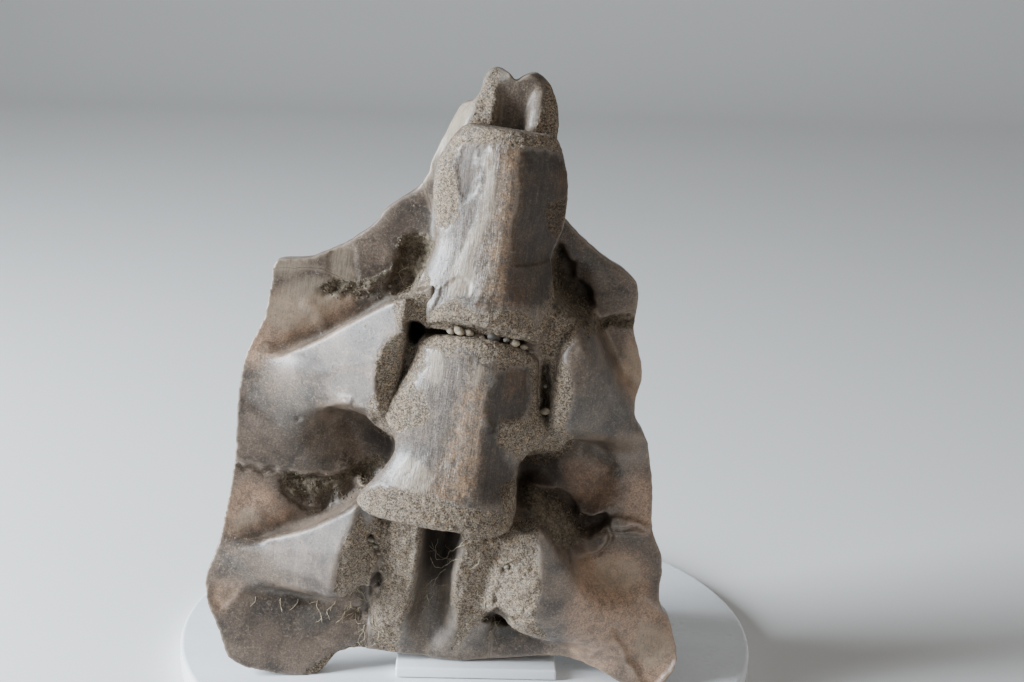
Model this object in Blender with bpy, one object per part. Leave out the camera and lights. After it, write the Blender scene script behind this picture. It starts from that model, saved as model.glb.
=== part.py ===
"""Fossil of a large sea turtle's shell, seen from its inner side, on a round display stand.

World frame: metres, +Z up, origin at the centre of the disc's underside, viewer on the -Y side.
The bones are shaped in the slab's own frame, in millimetres: u to the right across the shell,
v up the backbone, w out of the inner face. An empty leans and rolls that frame onto the stand.
"""

import math

import bmesh
import bpy
from mathutils import Matrix, Vector

MM = 0.001
GAP = 0.3  # mm of air between two touching pieces

# Display stand, mm
DISC_DIAMETER = 250.0
DISC_THICKNESS = 10.0
DISC_BEVEL = 2.0
PROP_WIDTH = 67.0
PROP_CENTRE_X = 4.5
PROP_FOOT_FRONT_Y = -50.0
PROP_FOOT_HEIGHT = 4.6
PROP_BACK_Y = 22.0
PROP_REACH = (22.0, 92.0)  # v of the stretch of the shell's back that lies on the prop

# Pose of the slab
LEAN = math.radians(6.0)
ROLL = math.radians(7.0)
SLAB_ORIGIN = Vector((-16.87, -35.78, 2.06 + DISC_THICKNESS))

# Bony plate, mm
PLATE_THICKNESS = 9.5
ACROSS_BOW = 1000.0  # the plate rises as u squared over this
ALONG_BOW = 1500.0  # and as the square of the way from FLATTEST_V over this
FLATTEST_V = 120.0

# Meshing
VOXEL = 1.7
SMOOTHING = 5
BODY_TRIANGLES = 3900

# Edge of the fragment, anticlockwise from the foot of the left lobe, as (u, v) in mm
EDGE = (
    (-54, -10), (-44, -8), (-37, 1), (-28, 4), (-12, 4), (10, 4), (36, 9), (56, 13), (70, 11),
    (81, 7), (90, 5), (98, 9), (103, 20), (98, 35), (92, 44), (91, 60), (85, 72), (82, 90),
    (77, 108), (69, 121), (70.5, 136), (64, 154), (64, 166), (60, 175), (46, 182), (33, 191),
    (24, 200), (21, 222), (19.5, 236), (15, 246), (9, 250), (4.5, 248.5), (1.5, 246), (-1.5, 248),
    (-6, 250), (-10.5, 247), (-13, 237), (-19, 232), (-26, 213), (-29.5, 200), (-42, 188), (-47, 180), (-57, 171),
    (-70, 163.5), (-83, 160.5), (-84, 151), (-85.5, 136), (-91, 118), (-91, 95), (-89.5, 77),
    (-91, 45), (-94.5, 24), (-86, 5), (-78, -7),
)

# Ribs: sections across u, each as (u at the crest, u at the base, low v, high v, base, crest w),
# with the base measured from RIB_SINK below the plate's face
RIB_SINK = 4.5
RIBS = {
    "left_upper": (
        (-90, -90, 110, 120, 0, 6), (-77, -77, 107, 123, 0, 10), (-64, -64, 107, 130, 0, 19),
        (-52, -51, 107, 141, 0, 29), (-43, -39, 106, 151, 4, 38), (-38, -32, 107, 156, 8, 41),
        (-32, -27, 110, 153, 9, 35), (-26, -23, 115, 147, 11, 28),
    ),
    "left_lower": (
        (-98, -98, 26, 42, 0, 12), (-80, -80, 26, 48, 0, 15), (-66, -66, 28, 54, 0, 21),
        (-54, -53, 28, 63, 0, 30), (-45, -40, 28, 74, 4, 37), (-39, -33, 30, 79, 8, 40),
        (-33, -29, 33, 76, 7, 36), (-26, -25, 38, 69, 6, 31),
    ),
    "right_upper": (
        (88, 88, 104, 114, 0, 6), (74, 74, 106, 121, 0, 12), (61, 61, 107, 133, 0, 21),
        (52, 51, 108, 146, 0, 30), (45, 42, 108, 157, 4, 37), (40, 35, 108, 160, 8, 41),
        (36, 32.5, 110, 158, 12, 40), (32.5, 31.5, 113, 154, 14, 36),
    ),
    "right_lower": (
        (98, 98, 14, 30, 0, 11), (82, 82, 16, 42, 0, 17), (66, 66, 20, 53, 0, 24),
        (54, 53, 22, 66, 0, 31), (44, 42, 24, 80, 4, 37), (38, 35, 26, 86, 6, 40),
        (32, 30, 28, 82, 6, 37), (22, 22, 33, 72, 4, 33),
    ),
}

# Neural arch: sections across v, each as (v, left u, right u, base w, crest w)
ARCH = (
    (254, -11, 16, 2, 13), (240, -14, 19, 0, 21), (228, -18, 20.5, -2, 26), (205, -20, 22, -4, 26),
    (160, -18, 18, -4, 25), (100, -17, 17, -4, 26), (80, -24, 24, -4, 38), (66, -24.7, 24.7, -4, 36),
    (42, -24.7, 24.7, -4, 29), (22, -24.7, 24.7, -2, 17), (6, -24, 22, 0, 8),
)
# Canal of the spinal cord, open towards the centra: (v, left u, right u, floor w)
CANAL = (
    (262, -4, 8.5, 8), (228, -4.5, 8, 6), (150, -7, 7, 5), (72, -9.5, 7, 5), (48, -8.5, 4.5, 5),
    (32, -11.5, 8, 5.5), (-6, -14, 11, 7.5),
)
CANAL_TOP = 45.0

# Hollows under the necks of the ribs, as (centre, radii) in (u, v, w)
HOLLOWS = (
    ((-39, 97, 9), (18, 13, 8)),
    ((38, 94, 8), (15, 12, 7.5)),
    ((-29, 173, 7), (6, 12, 5)),
    ((37, 167, 6), (10, 15, 5)),
    ((-31, 22, 8), (8, 7, 5)),
)

# Centra: sections across v, each as (v, left u, right u, back w, front w), from the top down
CENTRA = {
    "centrum_upper": (
        (228, -15, 19, 24, 44), (225, -18, 21.5, 21.5, 46), (214, -24, 26, 20, 46),
        (203, -25, 28, 20, 45), (192, -23.5, 27.5, 20, 43.5), (181, -21, 24.5, 20, 43),
        (170, -23.5, 28, 20, 44), (160, -28, 32, 20, 46.5), (154, -29, 31.5, 21.5, 48),
        (151, -24, 27, 25, 46.5),
    ),
    "centrum_lower": (
        (148.2, -19, 20, 25, 45.5), (145, -22, 26, 21.5, 47), (134, -23.5, 27, 20, 46),
        (122, -27.5, 29, 20, 45), (112, -33, 35, 20, 43.5), (104, -28, 30, 20, 43),
        (96, -25, 24.5, 20, 43), (86, -30, 28.5, 20, 44.5), (77, -37, 35, 20, 47.5),
        (72, -36.5, 34, 21.5, 48.5), (69.5, -31, 30, 25, 46.5),
    ),
}
JOINT_BOW = 5.0  # mm that the joint between the centra drops at its two sides
JOINT_V = 150.0
JOINT_REACH = 22.0
KEEL = 1.75  # superellipse power of a centrum's front, 2 being round
BACK = 3.2  # and of its back

# Seams between the bones, in (u, v): hexagonal neurals down the middle, costals to each side
NEURALS = {
    "neural_top": ((-17, 176), (17, 176), (30, 200), (30, 260), (-30, 260), (-32, 205)),
    "neural_middle": ((-19.5, 92), (19.5, 92), (20, 160), (17, 176), (-17, 176), (-20, 160)),
    "neural_bottom": ((-26, -20), (26, -20), (25.5, 77), (19.5, 92), (-19.5, 92), (-25.5, 77)),
}
COSTALS = {
    "costal_left_top": (
        (-110, 154), (-66, 160), (-50, 155), (-38, 162), (-20, 160), (-17, 176), (-32, 205),
        (-32, 230), (-110, 230),
    ),
    "costal_left_middle": (
        (-110, 77), (-81, 76), (-71, 74), (-52, 75), (-35, 80), (-25.5, 77), (-19.5, 92),
        (-20, 160), (-38, 162), (-50, 155), (-66, 160), (-110, 154),
    ),
    "costal_left_bottom": (
        (-110, -30), (-26, -30), (-26, -20), (-25.5, 77), (-35, 80), (-52, 75), (-71, 74),
        (-81, 76), (-110, 77),
    ),
    "costal_right_top": (
        (110, 162), (61, 161), (50, 156), (38, 163), (20, 160), (17, 176), (30, 200),
        (30, 230), (110, 230),
    ),
    "costal_right_middle": (
        (110, 74), (84, 73), (63, 70), (50, 66), (41, 76), (25.5, 77), (19.5, 92), (20, 160),
        (38, 163), (50, 156), (61, 161), (110, 162),
    ),
    "costal_right_bottom": (
        (110, -30), (26, -30), (26, -20), (25.5, 77), (41, 76), (50, 66), (63, 70), (84, 73),
        (110, 74),
    ),
}
SEAM_REACH = (-40.0, 70.0)  # w through which the seams cut

# Surface colours: linear RGB and roughness
FINISHES = {
    "bone_plate": ((0.098, 0.070, 0.054), 0.50),
    "bone_backbone": ((0.125, 0.092, 0.070), 0.55),
    "bone_arch": ((0.170, 0.125, 0.085), 0.80),
    "stand_white": ((0.80, 0.82, 0.84), 0.18),
}


def rise(u, v):
    """Height of the plate's inner face, which is hollow both ways."""
    return u * u / ACROSS_BOW + (v - FLATTEST_V) ** 2 / ALONG_BOW


def material(slot):
    """Principled material of one finish, made once."""
    made = bpy.data.materials.get(slot)
    if made:
        return made
    colour, roughness = FINISHES[slot]
    made = bpy.data.materials.new(slot)
    made.use_nodes = True
    shader = made.node_tree.nodes["Principled BSDF"]
    shader.inputs["Base Color"].default_value = (*colour, 1)
    shader.inputs["Roughness"].default_value = roughness
    shader.inputs["Metallic"].default_value = 0
    made.diffuse_color = (*colour, 1)
    return made


def object_from(name, shape, parent=None):
    """Object from a bmesh whose coordinates are millimetres."""
    bmesh.ops.scale(shape, vec=(MM, MM, MM), verts=shape.verts)
    bmesh.ops.recalc_face_normals(shape, faces=shape.faces)
    mesh = bpy.data.meshes.new(name)
    shape.to_mesh(mesh)
    shape.free()
    made = bpy.data.objects.new(name, mesh)
    bpy.context.scene.collection.objects.link(made)
    made.parent = parent
    return made


def guide(made):
    """Marks a helper, such as a cutter, which isn't part of the model."""
    made.hide_render = True
    made.display_type = "WIRE"
    return made


def superellipse(low, high, base, crest, count, front_power, back_power):
    """Points round a section: the first axis runs low to high, the second base to crest."""
    points = []
    middle, half = (low + high) / 2, (high - low) / 2
    level, depth = (base + crest) / 2, (crest - base) / 2
    for step in range(count):
        turn = 2 * math.pi * step / count
        x, y = math.cos(turn), math.sin(turn)
        power = 2 / (front_power if y > 0 else back_power)
        points.append(
            (
                middle + half * math.copysign(abs(x) ** power, x),
                level + depth * math.copysign(abs(y) ** power, y),
            )
        )
    return points


def loft(shape, rings):
    """Adds a closed tube through the rings, with a flat cap at each end."""
    loops = [[shape.verts.new(point) for point in ring] for ring in rings]
    for near, far in zip(loops, loops[1:]):
        for i in range(len(near)):
            j = (i + 1) % len(near)
            shape.faces.new((near[i], near[j], far[j], far[i]))
    shape.faces.new(loops[0][::-1])
    shape.faces.new(loops[-1])


def prism(name, outline, low, high, parent, inset=0.0):
    """Guide block that stands on an outline in (u, v), drawn in by inset on every side."""
    shape = bmesh.new()
    face = shape.faces.new([shape.verts.new((u, v, low)) for u, v in outline])
    if inset:
        rim = bmesh.ops.inset_region(shape, faces=[face], thickness=inset, use_even_offset=True)
        bmesh.ops.delete(shape, geom=rim["faces"], context="FACES")
    raised = bmesh.ops.extrude_face_region(shape, geom=list(shape.faces))["geom"]
    lifted = [item for item in raised if isinstance(item, bmesh.types.BMVert)]
    bmesh.ops.translate(shape, vec=(0, 0, high - low), verts=lifted)
    return guide(object_from(name, shape, parent))


def eased(sections, steps=2):
    """The sections with more between them, read as a Catmull-Rom spline through the numbers."""
    more = []
    last = len(sections) - 1
    for i in range(last):
        near = (sections[max(i - 1, 0)], sections[i], sections[i + 1], sections[min(i + 2, last)])
        for step in range(steps):
            more.append(tuple(spline(*values, step / steps) for values in zip(*near)))
    return [*more, sections[last]]


def spline(before, start, end, after, t):
    """Catmull-Rom value between start and end."""
    a = 2 * start + (end - before) * t
    b = (2 * before - 5 * start + 4 * end - after) * t * t
    c = (3 * start - before - 3 * end + after) * t**3
    return (a + b + c) / 2


def smooth_outline(points, per_side=4):
    """Closed curve through the points, read as a Catmull-Rom spline."""
    curve = []
    count = len(points)
    for i in range(count):
        before, start, end, after = (Vector(points[(i + k) % count]) for k in (-1, 0, 1, 2))
        for step in range(per_side):
            curve.append(spline(before, start, end, after, step / per_side))
    return curve


def plate(slab):
    """Curved plate, larger than the fragment."""
    shape = bmesh.new()
    bmesh.ops.create_grid(shape, x_segments=40, y_segments=50, size=1)
    for vert in shape.verts:
        u, v = vert.co.x * 115, 120 + vert.co.y * 145
        vert.co = (u, v, rise(u, v))
    made = guide(object_from("plate_blank", shape, slab))
    if made.data.polygons[0].normal.z < 0:
        made.data.flip_normals()
    thicken = made.modifiers.new("thickness", "SOLIDIFY")
    thicken.thickness = PLATE_THICKNESS * MM
    thicken.offset = -1
    return made


def struts(slab):
    """Ribs and neural arch as closed tubes that run into each other and into the plate."""
    shape = bmesh.new()
    for sections in RIBS.values():
        rings = []
        for crest_u, base_u, low, high, base, crest in eased(sections):
            base += rise(crest_u, (low + high) / 2) - RIB_SINK
            slant = (crest_u - base_u) / (crest - base)
            section = superellipse(low, high, base, crest, 28, 2.4, 3)
            rings.append([(base_u + slant * (w - base), v, w) for v, w in section])
        loft(shape, rings)
    rings = []
    for v, left, right, base, crest in eased(ARCH):
        rings.append([(u, v, w) for u, w in superellipse(left, right, base, crest, 32, 4, 4)])
    loft(shape, rings)
    return guide(object_from("struts", shape, slab))


def canal(slab):
    """Trough of the spinal cord, with a round floor."""
    shape = bmesh.new()
    rings = []
    for v, left, right, floor in eased(CANAL):
        rings.append([(u, v, w) for u, w in superellipse(left, right, floor, CANAL_TOP, 24, 12, 2.2)])
    loft(shape, rings)
    return guide(object_from("canal", shape, slab))


def hollows(slab):
    """Rounded hollows beside the backbone, one mesh for all."""
    shape = bmesh.new()
    for centre, radii in HOLLOWS:
        place = Matrix.Translation(centre) @ Matrix.Diagonal((*radii, 1))
        bmesh.ops.create_icosphere(shape, subdivisions=3, radius=1, matrix=place)
    return guide(object_from("hollows", shape, slab))


def centrum_rings(sections, grow):
    """Sections of a centrum, drawn out by grow, with the ends bowed at the joint between the two."""
    rings = []
    for v, left, right, back, front in eased(sections):
        if v in (sections[0][0], sections[-1][0]):
            v += math.copysign(grow, v - sections[4][0])
        section = superellipse(left - grow, right + grow, back - grow, front + grow, 26, KEEL, BACK)
        share = max(0.0, 1 - abs(v - JOINT_V) / JOINT_REACH)
        ring = []
        for u, w in section:
            drop = JOINT_BOW * share * min(1.0, ((u - 1) / 25) ** 2)
            ring.append((u, v - drop, w))
        rings.append(ring)
    return rings


def centrum(name, slab, grow=0.0):
    """Hourglass body of a vertebra with a keel down its front."""
    shape = bmesh.new()
    loft(shape, centrum_rings(CENTRA[name], grow))
    made = object_from(name if not grow else name + "_clearance", shape, slab)
    return guide(made) if grow else made


def cut(made, name, cutter, operation="DIFFERENCE"):
    """Boolean with the exact solver."""
    modifier = made.modifiers.new(name, "BOOLEAN")
    modifier.operation = operation
    modifier.object = cutter
    modifier.solver = "EXACT"
    return modifier


def fuse(made, name):
    """Voxel remesh, which makes one closed skin of whatever overlaps."""
    modifier = made.modifiers.new(name, "REMESH")
    modifier.mode = "VOXEL"
    modifier.voxel_size = VOXEL * MM
    return modifier


def evaluated_mesh(made):
    """Mesh of an object with its modifiers applied."""
    graph = bpy.context.evaluated_depsgraph_get()
    return bpy.data.meshes.new_from_object(made.evaluated_get(graph))


def join(name, parts, slab):
    """One guide object from the evaluated meshes of the parts."""
    shape = bmesh.new()
    for part in parts:
        shape.from_mesh(evaluated_mesh(part))
    mesh = bpy.data.meshes.new(name)
    shape.to_mesh(mesh)
    shape.free()
    made = bpy.data.objects.new(name, mesh)
    bpy.context.scene.collection.objects.link(made)
    made.parent = slab
    return guide(made)


def floor_block():
    """Everything lower than the feet of the slab."""
    shape = bmesh.new()
    bmesh.ops.create_cube(shape, size=400)
    bmesh.ops.translate(shape, vec=(0, 0, DISC_THICKNESS + GAP - 200), verts=shape.verts)
    return guide(object_from("floor_block", shape))


def carapace(slab):
    """Plate, ribs and neural arch as one skin, with the canal, the hollows and the feet cut."""
    body = join("carapace", [plate(slab), struts(slab)], slab)
    fuse(body, "fuse")
    cut(body, "outline", prism("fragment_outline", smooth_outline(EDGE), -40, 70, slab), "INTERSECT")
    cut(body, "canal", canal(slab))
    cut(body, "hollows", hollows(slab))
    fuse(body, "fuse again")
    soften = body.modifiers.new("soften", "SMOOTH")
    soften.factor = 0.5
    soften.iterations = SMOOTHING
    body.data = evaluated_mesh(body)
    body.modifiers.clear()
    body.data.calc_loop_triangles()
    thin = body.modifiers.new("thin out", "DECIMATE")
    thin.ratio = BODY_TRIANGLES / len(body.data.loop_triangles)
    for name in CENTRA:
        cut(body, "room for " + name, centrum(name, slab, grow=GAP))
    cut(body, "feet", floor_block())
    body.data = evaluated_mesh(body)
    body.modifiers.clear()
    return body


def bone(name, slot, body, outline, slab):
    """The part of the carapace that lies inside one seam outline."""
    made = bpy.data.objects.new(name, body.data.copy())
    bpy.context.scene.collection.objects.link(made)
    made.parent = slab
    cut(made, "seams", prism(name + "_seams", outline, *SEAM_REACH, slab, inset=GAP / 2), "INTERSECT")
    finish(made, slot)


def finish(made, slot):
    """Smooth shading and a finish."""
    made.data.materials.append(material(slot))
    made.data.shade_smooth()
    made.data.set_sharp_from_angle(angle=math.radians(40))


def stand_disc():
    """Round base with a soft edge."""
    shape = bmesh.new()
    radius = DISC_DIAMETER / 2
    middle = Matrix.Translation((0, 0, DISC_THICKNESS / 2))
    bmesh.ops.create_cone(
        shape, cap_ends=True, segments=72, radius1=radius, radius2=radius, depth=DISC_THICKNESS,
        matrix=middle,
    )
    rims = [edge for edge in shape.edges if any(len(face.verts) > 4 for face in edge.link_faces)]
    bmesh.ops.bevel(shape, geom=rims, offset=DISC_BEVEL, segments=1, profile=0.5, affect="EDGES")
    finish(object_from("stand_disc", shape), "stand_white")


def stand_prop():
    """Foot under the slab's lower edge and upright behind its back, in one block."""
    top = DISC_THICKNESS + GAP
    back = []
    for share in (0.0, 0.34, 0.67, 1.0):
        v = PROP_REACH[0] + share * (PROP_REACH[1] - PROP_REACH[0])
        w = rise(0, v) - PLATE_THICKNESS - (1.6 - share)
        back.append((slab_y(v, w), slab_z(v, w)))
    profile = [
        (PROP_FOOT_FRONT_Y, top),
        (PROP_BACK_Y, top),
        (PROP_BACK_Y, top + 6),
        (back[-1][0] + 9, back[-1][1]),
        *reversed(back),
        (back[0][0], top + PROP_FOOT_HEIGHT),
        (PROP_FOOT_FRONT_Y, top + PROP_FOOT_HEIGHT),
    ]
    shape = bmesh.new()
    left = PROP_CENTRE_X - PROP_WIDTH / 2
    face = shape.faces.new([shape.verts.new((left, y, z)) for y, z in profile])
    raised = bmesh.ops.extrude_face_region(shape, geom=[face])["geom"]
    moved = [item for item in raised if isinstance(item, bmesh.types.BMVert)]
    bmesh.ops.translate(shape, vec=(PROP_WIDTH, 0, 0), verts=moved)
    bmesh.ops.recalc_face_normals(shape, faces=shape.faces)
    bmesh.ops.bevel(shape, geom=list(shape.edges), offset=0.8, segments=1, affect="EDGES")
    finish(object_from("stand_prop", shape), "stand_white")


def slab_y(v, w):
    """World y of a point on the slab's midline, in mm."""
    return SLAB_ORIGIN.y + v * math.sin(LEAN) - w * math.cos(LEAN)


def slab_z(v, w):
    """World z of a point on the slab's midline, in mm."""
    return SLAB_ORIGIN.z + v * math.cos(LEAN) + w * math.sin(LEAN)


def main():
    for existing in list(bpy.data.objects):
        bpy.data.objects.remove(existing)
    slab = bpy.data.objects.new("slab_frame", None)
    bpy.context.scene.collection.objects.link(slab)
    slab.rotation_mode = "ZYX"
    slab.rotation_euler = (math.pi / 2 - LEAN, 0, -ROLL)
    slab.location = SLAB_ORIGIN * MM
    bpy.context.view_layer.update()
    stand_disc()
    stand_prop()
    for name in CENTRA:
        finish(centrum(name, slab), "bone_backbone")
    body = carapace(slab)
    for name, outline in NEURALS.items():
        bone(name, "bone_arch", body, outline, slab)
    for name, outline in COSTALS.items():
        bone(name, "bone_plate", body, outline, slab)


main()
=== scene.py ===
"""Finished look of a fossil piece of a sea turtle's shell, which leans on a round display stand.

The shell is worked in the slab's own frame, in millimetres: u to the right across the shell,
v up the backbone, w out of the hollow inner face. Details are placed on the sight plane, w = 30:
a detail at (a, b) lies where a line from the viewer's eye through (a, b, 30) meets the bone.
"""

import math

import bmesh
import bpy
import numpy as np
from bpy.props import FloatProperty, FloatVectorProperty, IntProperty, PointerProperty
from mathutils import Matrix, Vector
from mathutils.bvhtree import BVHTree


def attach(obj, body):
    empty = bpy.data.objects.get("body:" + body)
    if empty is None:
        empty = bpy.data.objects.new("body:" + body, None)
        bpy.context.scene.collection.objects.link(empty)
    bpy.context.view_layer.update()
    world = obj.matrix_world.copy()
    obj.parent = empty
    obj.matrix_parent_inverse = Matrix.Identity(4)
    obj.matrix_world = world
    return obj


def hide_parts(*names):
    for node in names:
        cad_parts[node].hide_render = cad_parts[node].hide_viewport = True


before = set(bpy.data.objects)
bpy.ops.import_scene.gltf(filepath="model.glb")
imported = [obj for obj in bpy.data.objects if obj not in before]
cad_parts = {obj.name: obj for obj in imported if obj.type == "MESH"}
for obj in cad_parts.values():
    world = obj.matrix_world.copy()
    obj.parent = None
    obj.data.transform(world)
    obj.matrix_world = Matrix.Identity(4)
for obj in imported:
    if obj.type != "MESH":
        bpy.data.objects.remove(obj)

bl_info = {
    "name": "Fossil Turtle Shell",
    "version": (1, 0, 0),
    "blender": (4, 5, 0),
    "location": "3D View > Sidebar > Fossil",
    "description": "Dresses a fossil piece of a turtle's shell and its display stand",
    "category": "Object",
}

MM = 0.001

# Pose of the slab on the stand
LEAN = math.radians(6.0)
ROLL = math.radians(7.0)
SLAB_ORIGIN = np.array((-16.87, -35.78, 12.06))
SIGHT_LEVEL = 30.0

# The viewer's eye, mm, where the camera stands too, and the camera's turns
EYE = np.array((0.0, -695.02, 342.13))
CAMERA_PITCH = math.radians(15.99)
CAMERA_YAW = math.radians(1.356)
CAMERA_ROLL = math.radians(1.784)
LIT_PLACE = (0.0, -0.04, 0.13)  # where the lights point, metres

# Stand, mm
DISC_THICKNESS = 10.0
DISC_SEGMENTS = 180
GAP = 0.3
PROP_WIDTH = 67.0
PROP_CENTRE = 4.5
PROP_FRONT = -50.0
PROP_BACK = 22.0
PROP_HEEL = 6.0
PROP_TOP_DEPTH = 9.0
PROP_FOOT_HEIGHT = 4.6
PROP_REACH = (22.0, 92.0)  # v of the stretch of the shell's back that lies on the prop

# Bony plate, mm, and the work on it
PLATE_THICKNESS = 9.5
ACROSS_BOW = 1000.0
ALONG_BOW = 1500.0
FLATTEST_V = 120.0
FIELD_LOW = (-108.0, -18.0)
FIELD_HIGH = (112.0, 258.0)
CAST_STEP = 1.0
FACE_STEP = 0.5
CUTTER_FOOT = -40.0
CUTTER_HEIGHT = 110.0
FAR_SOFTENING = 2.4  # times the usual one, at the broken sides
CRISP_SOFTENING = 0.45  # times the usual one, at the ribs' edges
DIP_BEHIND_RIBS = 1.8
RUBBLE_BLOCK = 2.2
SPONGY_SINK = 0.4
FURROW_DEPTH, FURROW_WIDTH = 0.9, 1.6
GRAIN_STEP = 3  # cells of the face's grid between the corners that grains are spread over
SEED_OPEN_BONE = 5  # starts of the smooth noises
SEED_FACE_EDGES = 11
SEED_OUTLINE = 21
SEED_BROKEN_SIDE = 31
SEED_SEAMS = 41
SEED_CENTRUM_EDGES = 51
SEED_HIDDEN_BONE = 61
SEED_FIBRES = 71
SEED_RUBBLE = 91
SHELL_TOP = 260.6  # highest point of the solids above the floor

# Edge of the fragment, anticlockwise from the foot of the left lobe, as (u, v)
EDGE = (
    (-54, -10), (-44, -8), (-37, 1), (-28, 4), (-12, 4), (10, 4), (36, 9), (56, 13), (70, 11),
    (81, 7), (90, 5), (98, 9), (103, 20), (98, 35), (92, 44), (91, 60), (85, 72), (82, 90),
    (77, 108), (69, 121), (70.5, 136), (64, 154), (64, 166), (60, 175), (46, 182), (33, 191),
    (24, 200), (21, 222), (19.5, 236), (15, 246), (9, 250), (4.5, 248.5), (1.5, 246),
    (-1.5, 248), (-6, 250), (-10.5, 247), (-13, 237), (-19, 232), (-26, 213), (-29.5, 200),
    (-42, 188), (-47, 180), (-57, 171), (-70, 163.5), (-83, 160.5), (-84, 151), (-85.5, 136),
    (-91, 118), (-91, 95), (-89.5, 77), (-91, 45), (-94.5, 24), (-86, 5), (-78, -7),
)

# Seams between the bones, in (u, v)
SEAMS = {
    "neural_top": ((-17, 176), (17, 176), (30, 200), (30, 260), (-30, 260), (-32, 205)),
    "neural_middle": (
        (-19.5, 92), (19.5, 92), (20, 160), (17, 176), (-17, 176), (-20, 160),
    ),
    "neural_bottom": (
        (-26, -30), (26, -30), (25.5, 77), (19.5, 92), (-19.5, 92), (-25.5, 77),
    ),
    "costal_left_top": (
        (-110, 154), (-66, 160), (-50, 155), (-38, 162), (-20, 160), (-17, 176), (-32, 205),
        (-30, 260), (-110, 260),
    ),
    "costal_left_middle": (
        (-110, 77), (-81, 76), (-71, 74), (-52, 75), (-35, 80), (-25.5, 77), (-19.5, 92),
        (-20, 160), (-38, 162), (-50, 155), (-66, 160), (-110, 154),
    ),
    "costal_left_bottom": (
        (-110, -30), (-26, -30), (-25.5, 77), (-35, 80), (-52, 75), (-71, 74), (-81, 76),
        (-110, 77),
    ),
    "costal_right_top": (
        (110, 162), (61, 161), (50, 156), (38, 163), (20, 160), (17, 176), (30, 200),
        (30, 260), (110, 260),
    ),
    "costal_right_middle": (
        (110, 74), (84, 73), (63, 70), (50, 66), (41, 76), (25.5, 77), (19.5, 92), (20, 160),
        (38, 163), (50, 156), (61, 161), (110, 162),
    ),
    "costal_right_bottom": (
        (110, -30), (26, -30), (25.5, 77), (41, 76), (50, 66), (63, 70), (84, 73), (110, 74),
    ),
}
# Furrows between the horny scutes on the outer face, in (u, v)
SCUTE_FURROWS = (
    ((-110, 104), (-60, 112), (-34, 120), (0, 117), (34, 121), (60, 113), (110, 104)),
    ((-28, -20), (-36, 30), (-30, 74), (-34, 120), (-24, 170), (-30, 220)),
    ((28, -20), (35, 28), (31, 72), (34, 121), (25, 170), (28, 220)),
)
CENTRA = ("centrum_upper", "centrum_lower")
SLOTS = {"neural": "bone_arch", "costal": "bone_plate", "centrum": "bone_backbone"}


# ---------------------------------------------------------------- frames and small numbers


def slab_axes():
    """Rows of the slab's three axes in the row frame."""
    right = np.array((1.0, 0.0, 0.0))
    up = np.array((0.0, math.sin(LEAN), math.cos(LEAN)))
    out = np.array((0.0, -math.cos(LEAN), math.sin(LEAN)))
    along = math.cos(ROLL) * up + math.sin(ROLL) * right
    across = math.cos(ROLL) * right - math.sin(ROLL) * up
    return np.array((across, along, out))


AXES = slab_axes()


def to_slab(points):
    """Slab millimetres of points in row metres."""
    return (np.asarray(points) / MM - SLAB_ORIGIN) @ AXES.T


def to_row(points):
    """Row metres of points in slab millimetres."""
    return (np.asarray(points) @ AXES + SLAB_ORIGIN) * MM


EYE_SLAB = (EYE - SLAB_ORIGIN) @ AXES.T


def sight(u, v, w):
    """Where points of the slab appear on the sight plane."""
    share = (SIGHT_LEVEL - EYE_SLAB[2]) / (w - EYE_SLAB[2])
    return EYE_SLAB[0] + share * (u - EYE_SLAB[0]), EYE_SLAB[1] + share * (v - EYE_SLAB[1])


def rise(u, v):
    """Height of the plate's inner face, which is hollow both ways."""
    return u * u / ACROSS_BOW + (v - FLATTEST_V) ** 2 / ALONG_BOW


def eased(low, high, value):
    """0 below low, 1 above high, with a soft step between."""
    share = np.clip((value - low) / (high - low), 0, 1)
    return share * share * (3 - 2 * share)


def blurred(values, radius):
    """A grid of values blurred by a Gaussian, radius in cells."""
    rim = int(math.ceil(3 * radius)) + 1
    padded = np.pad(values, rim, mode="edge")
    along = np.fft.fftfreq(padded.shape[0])[:, None]
    across = np.fft.rfftfreq(padded.shape[1])[None, :]
    keep = np.exp(-2 * (math.pi * radius) ** 2 * (along**2 + across**2))
    soft = np.fft.irfft2(np.fft.rfft2(padded) * keep, padded.shape)
    return soft[rim:-rim, rim:-rim]


def lumps(points, size, seed):
    """Smooth noise from -1 to 1 in space, with lumps about as large as size."""
    table = np.random.default_rng(seed).uniform(-1, 1, (32, 32, 32))
    place = points / size
    cell = np.floor(place).astype(int)
    share = place - cell
    share = share * share * (3 - 2 * share)
    total = np.zeros(len(points))
    for corner in range(8):
        step = np.array((corner & 1, corner >> 1 & 1, corner >> 2 & 1))
        weight = np.prod(np.where(step, share, 1 - share), axis=1)
        index = (cell + step) % 32
        total += weight * table[index[:, 0], index[:, 1], index[:, 2]]
    return total


def path_distance(a, b, path):
    """Distance of each point from a path, and how far along the path it is nearest, from 0 to 1."""
    nearest = np.full(a.shape, 1e9)
    share = np.zeros(a.shape)
    ends = np.array(path, float)
    sides = np.hypot(*(ends[1:] - ends[:-1]).T)
    start = np.concatenate([[0], np.cumsum(sides)])
    for (x, y), (dx, dy), side, before in zip(ends, ends[1:] - ends[:-1], sides, start):
        t = np.clip(((a - x) * dx + (b - y) * dy) / side**2, 0, 1)
        away = np.hypot(a - x - t * dx, b - y - t * dy)
        closer = away < nearest
        nearest[closer] = away[closer]
        share[closer] = ((before + t * side) / start[-1])[closer]
    return nearest, share


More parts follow.
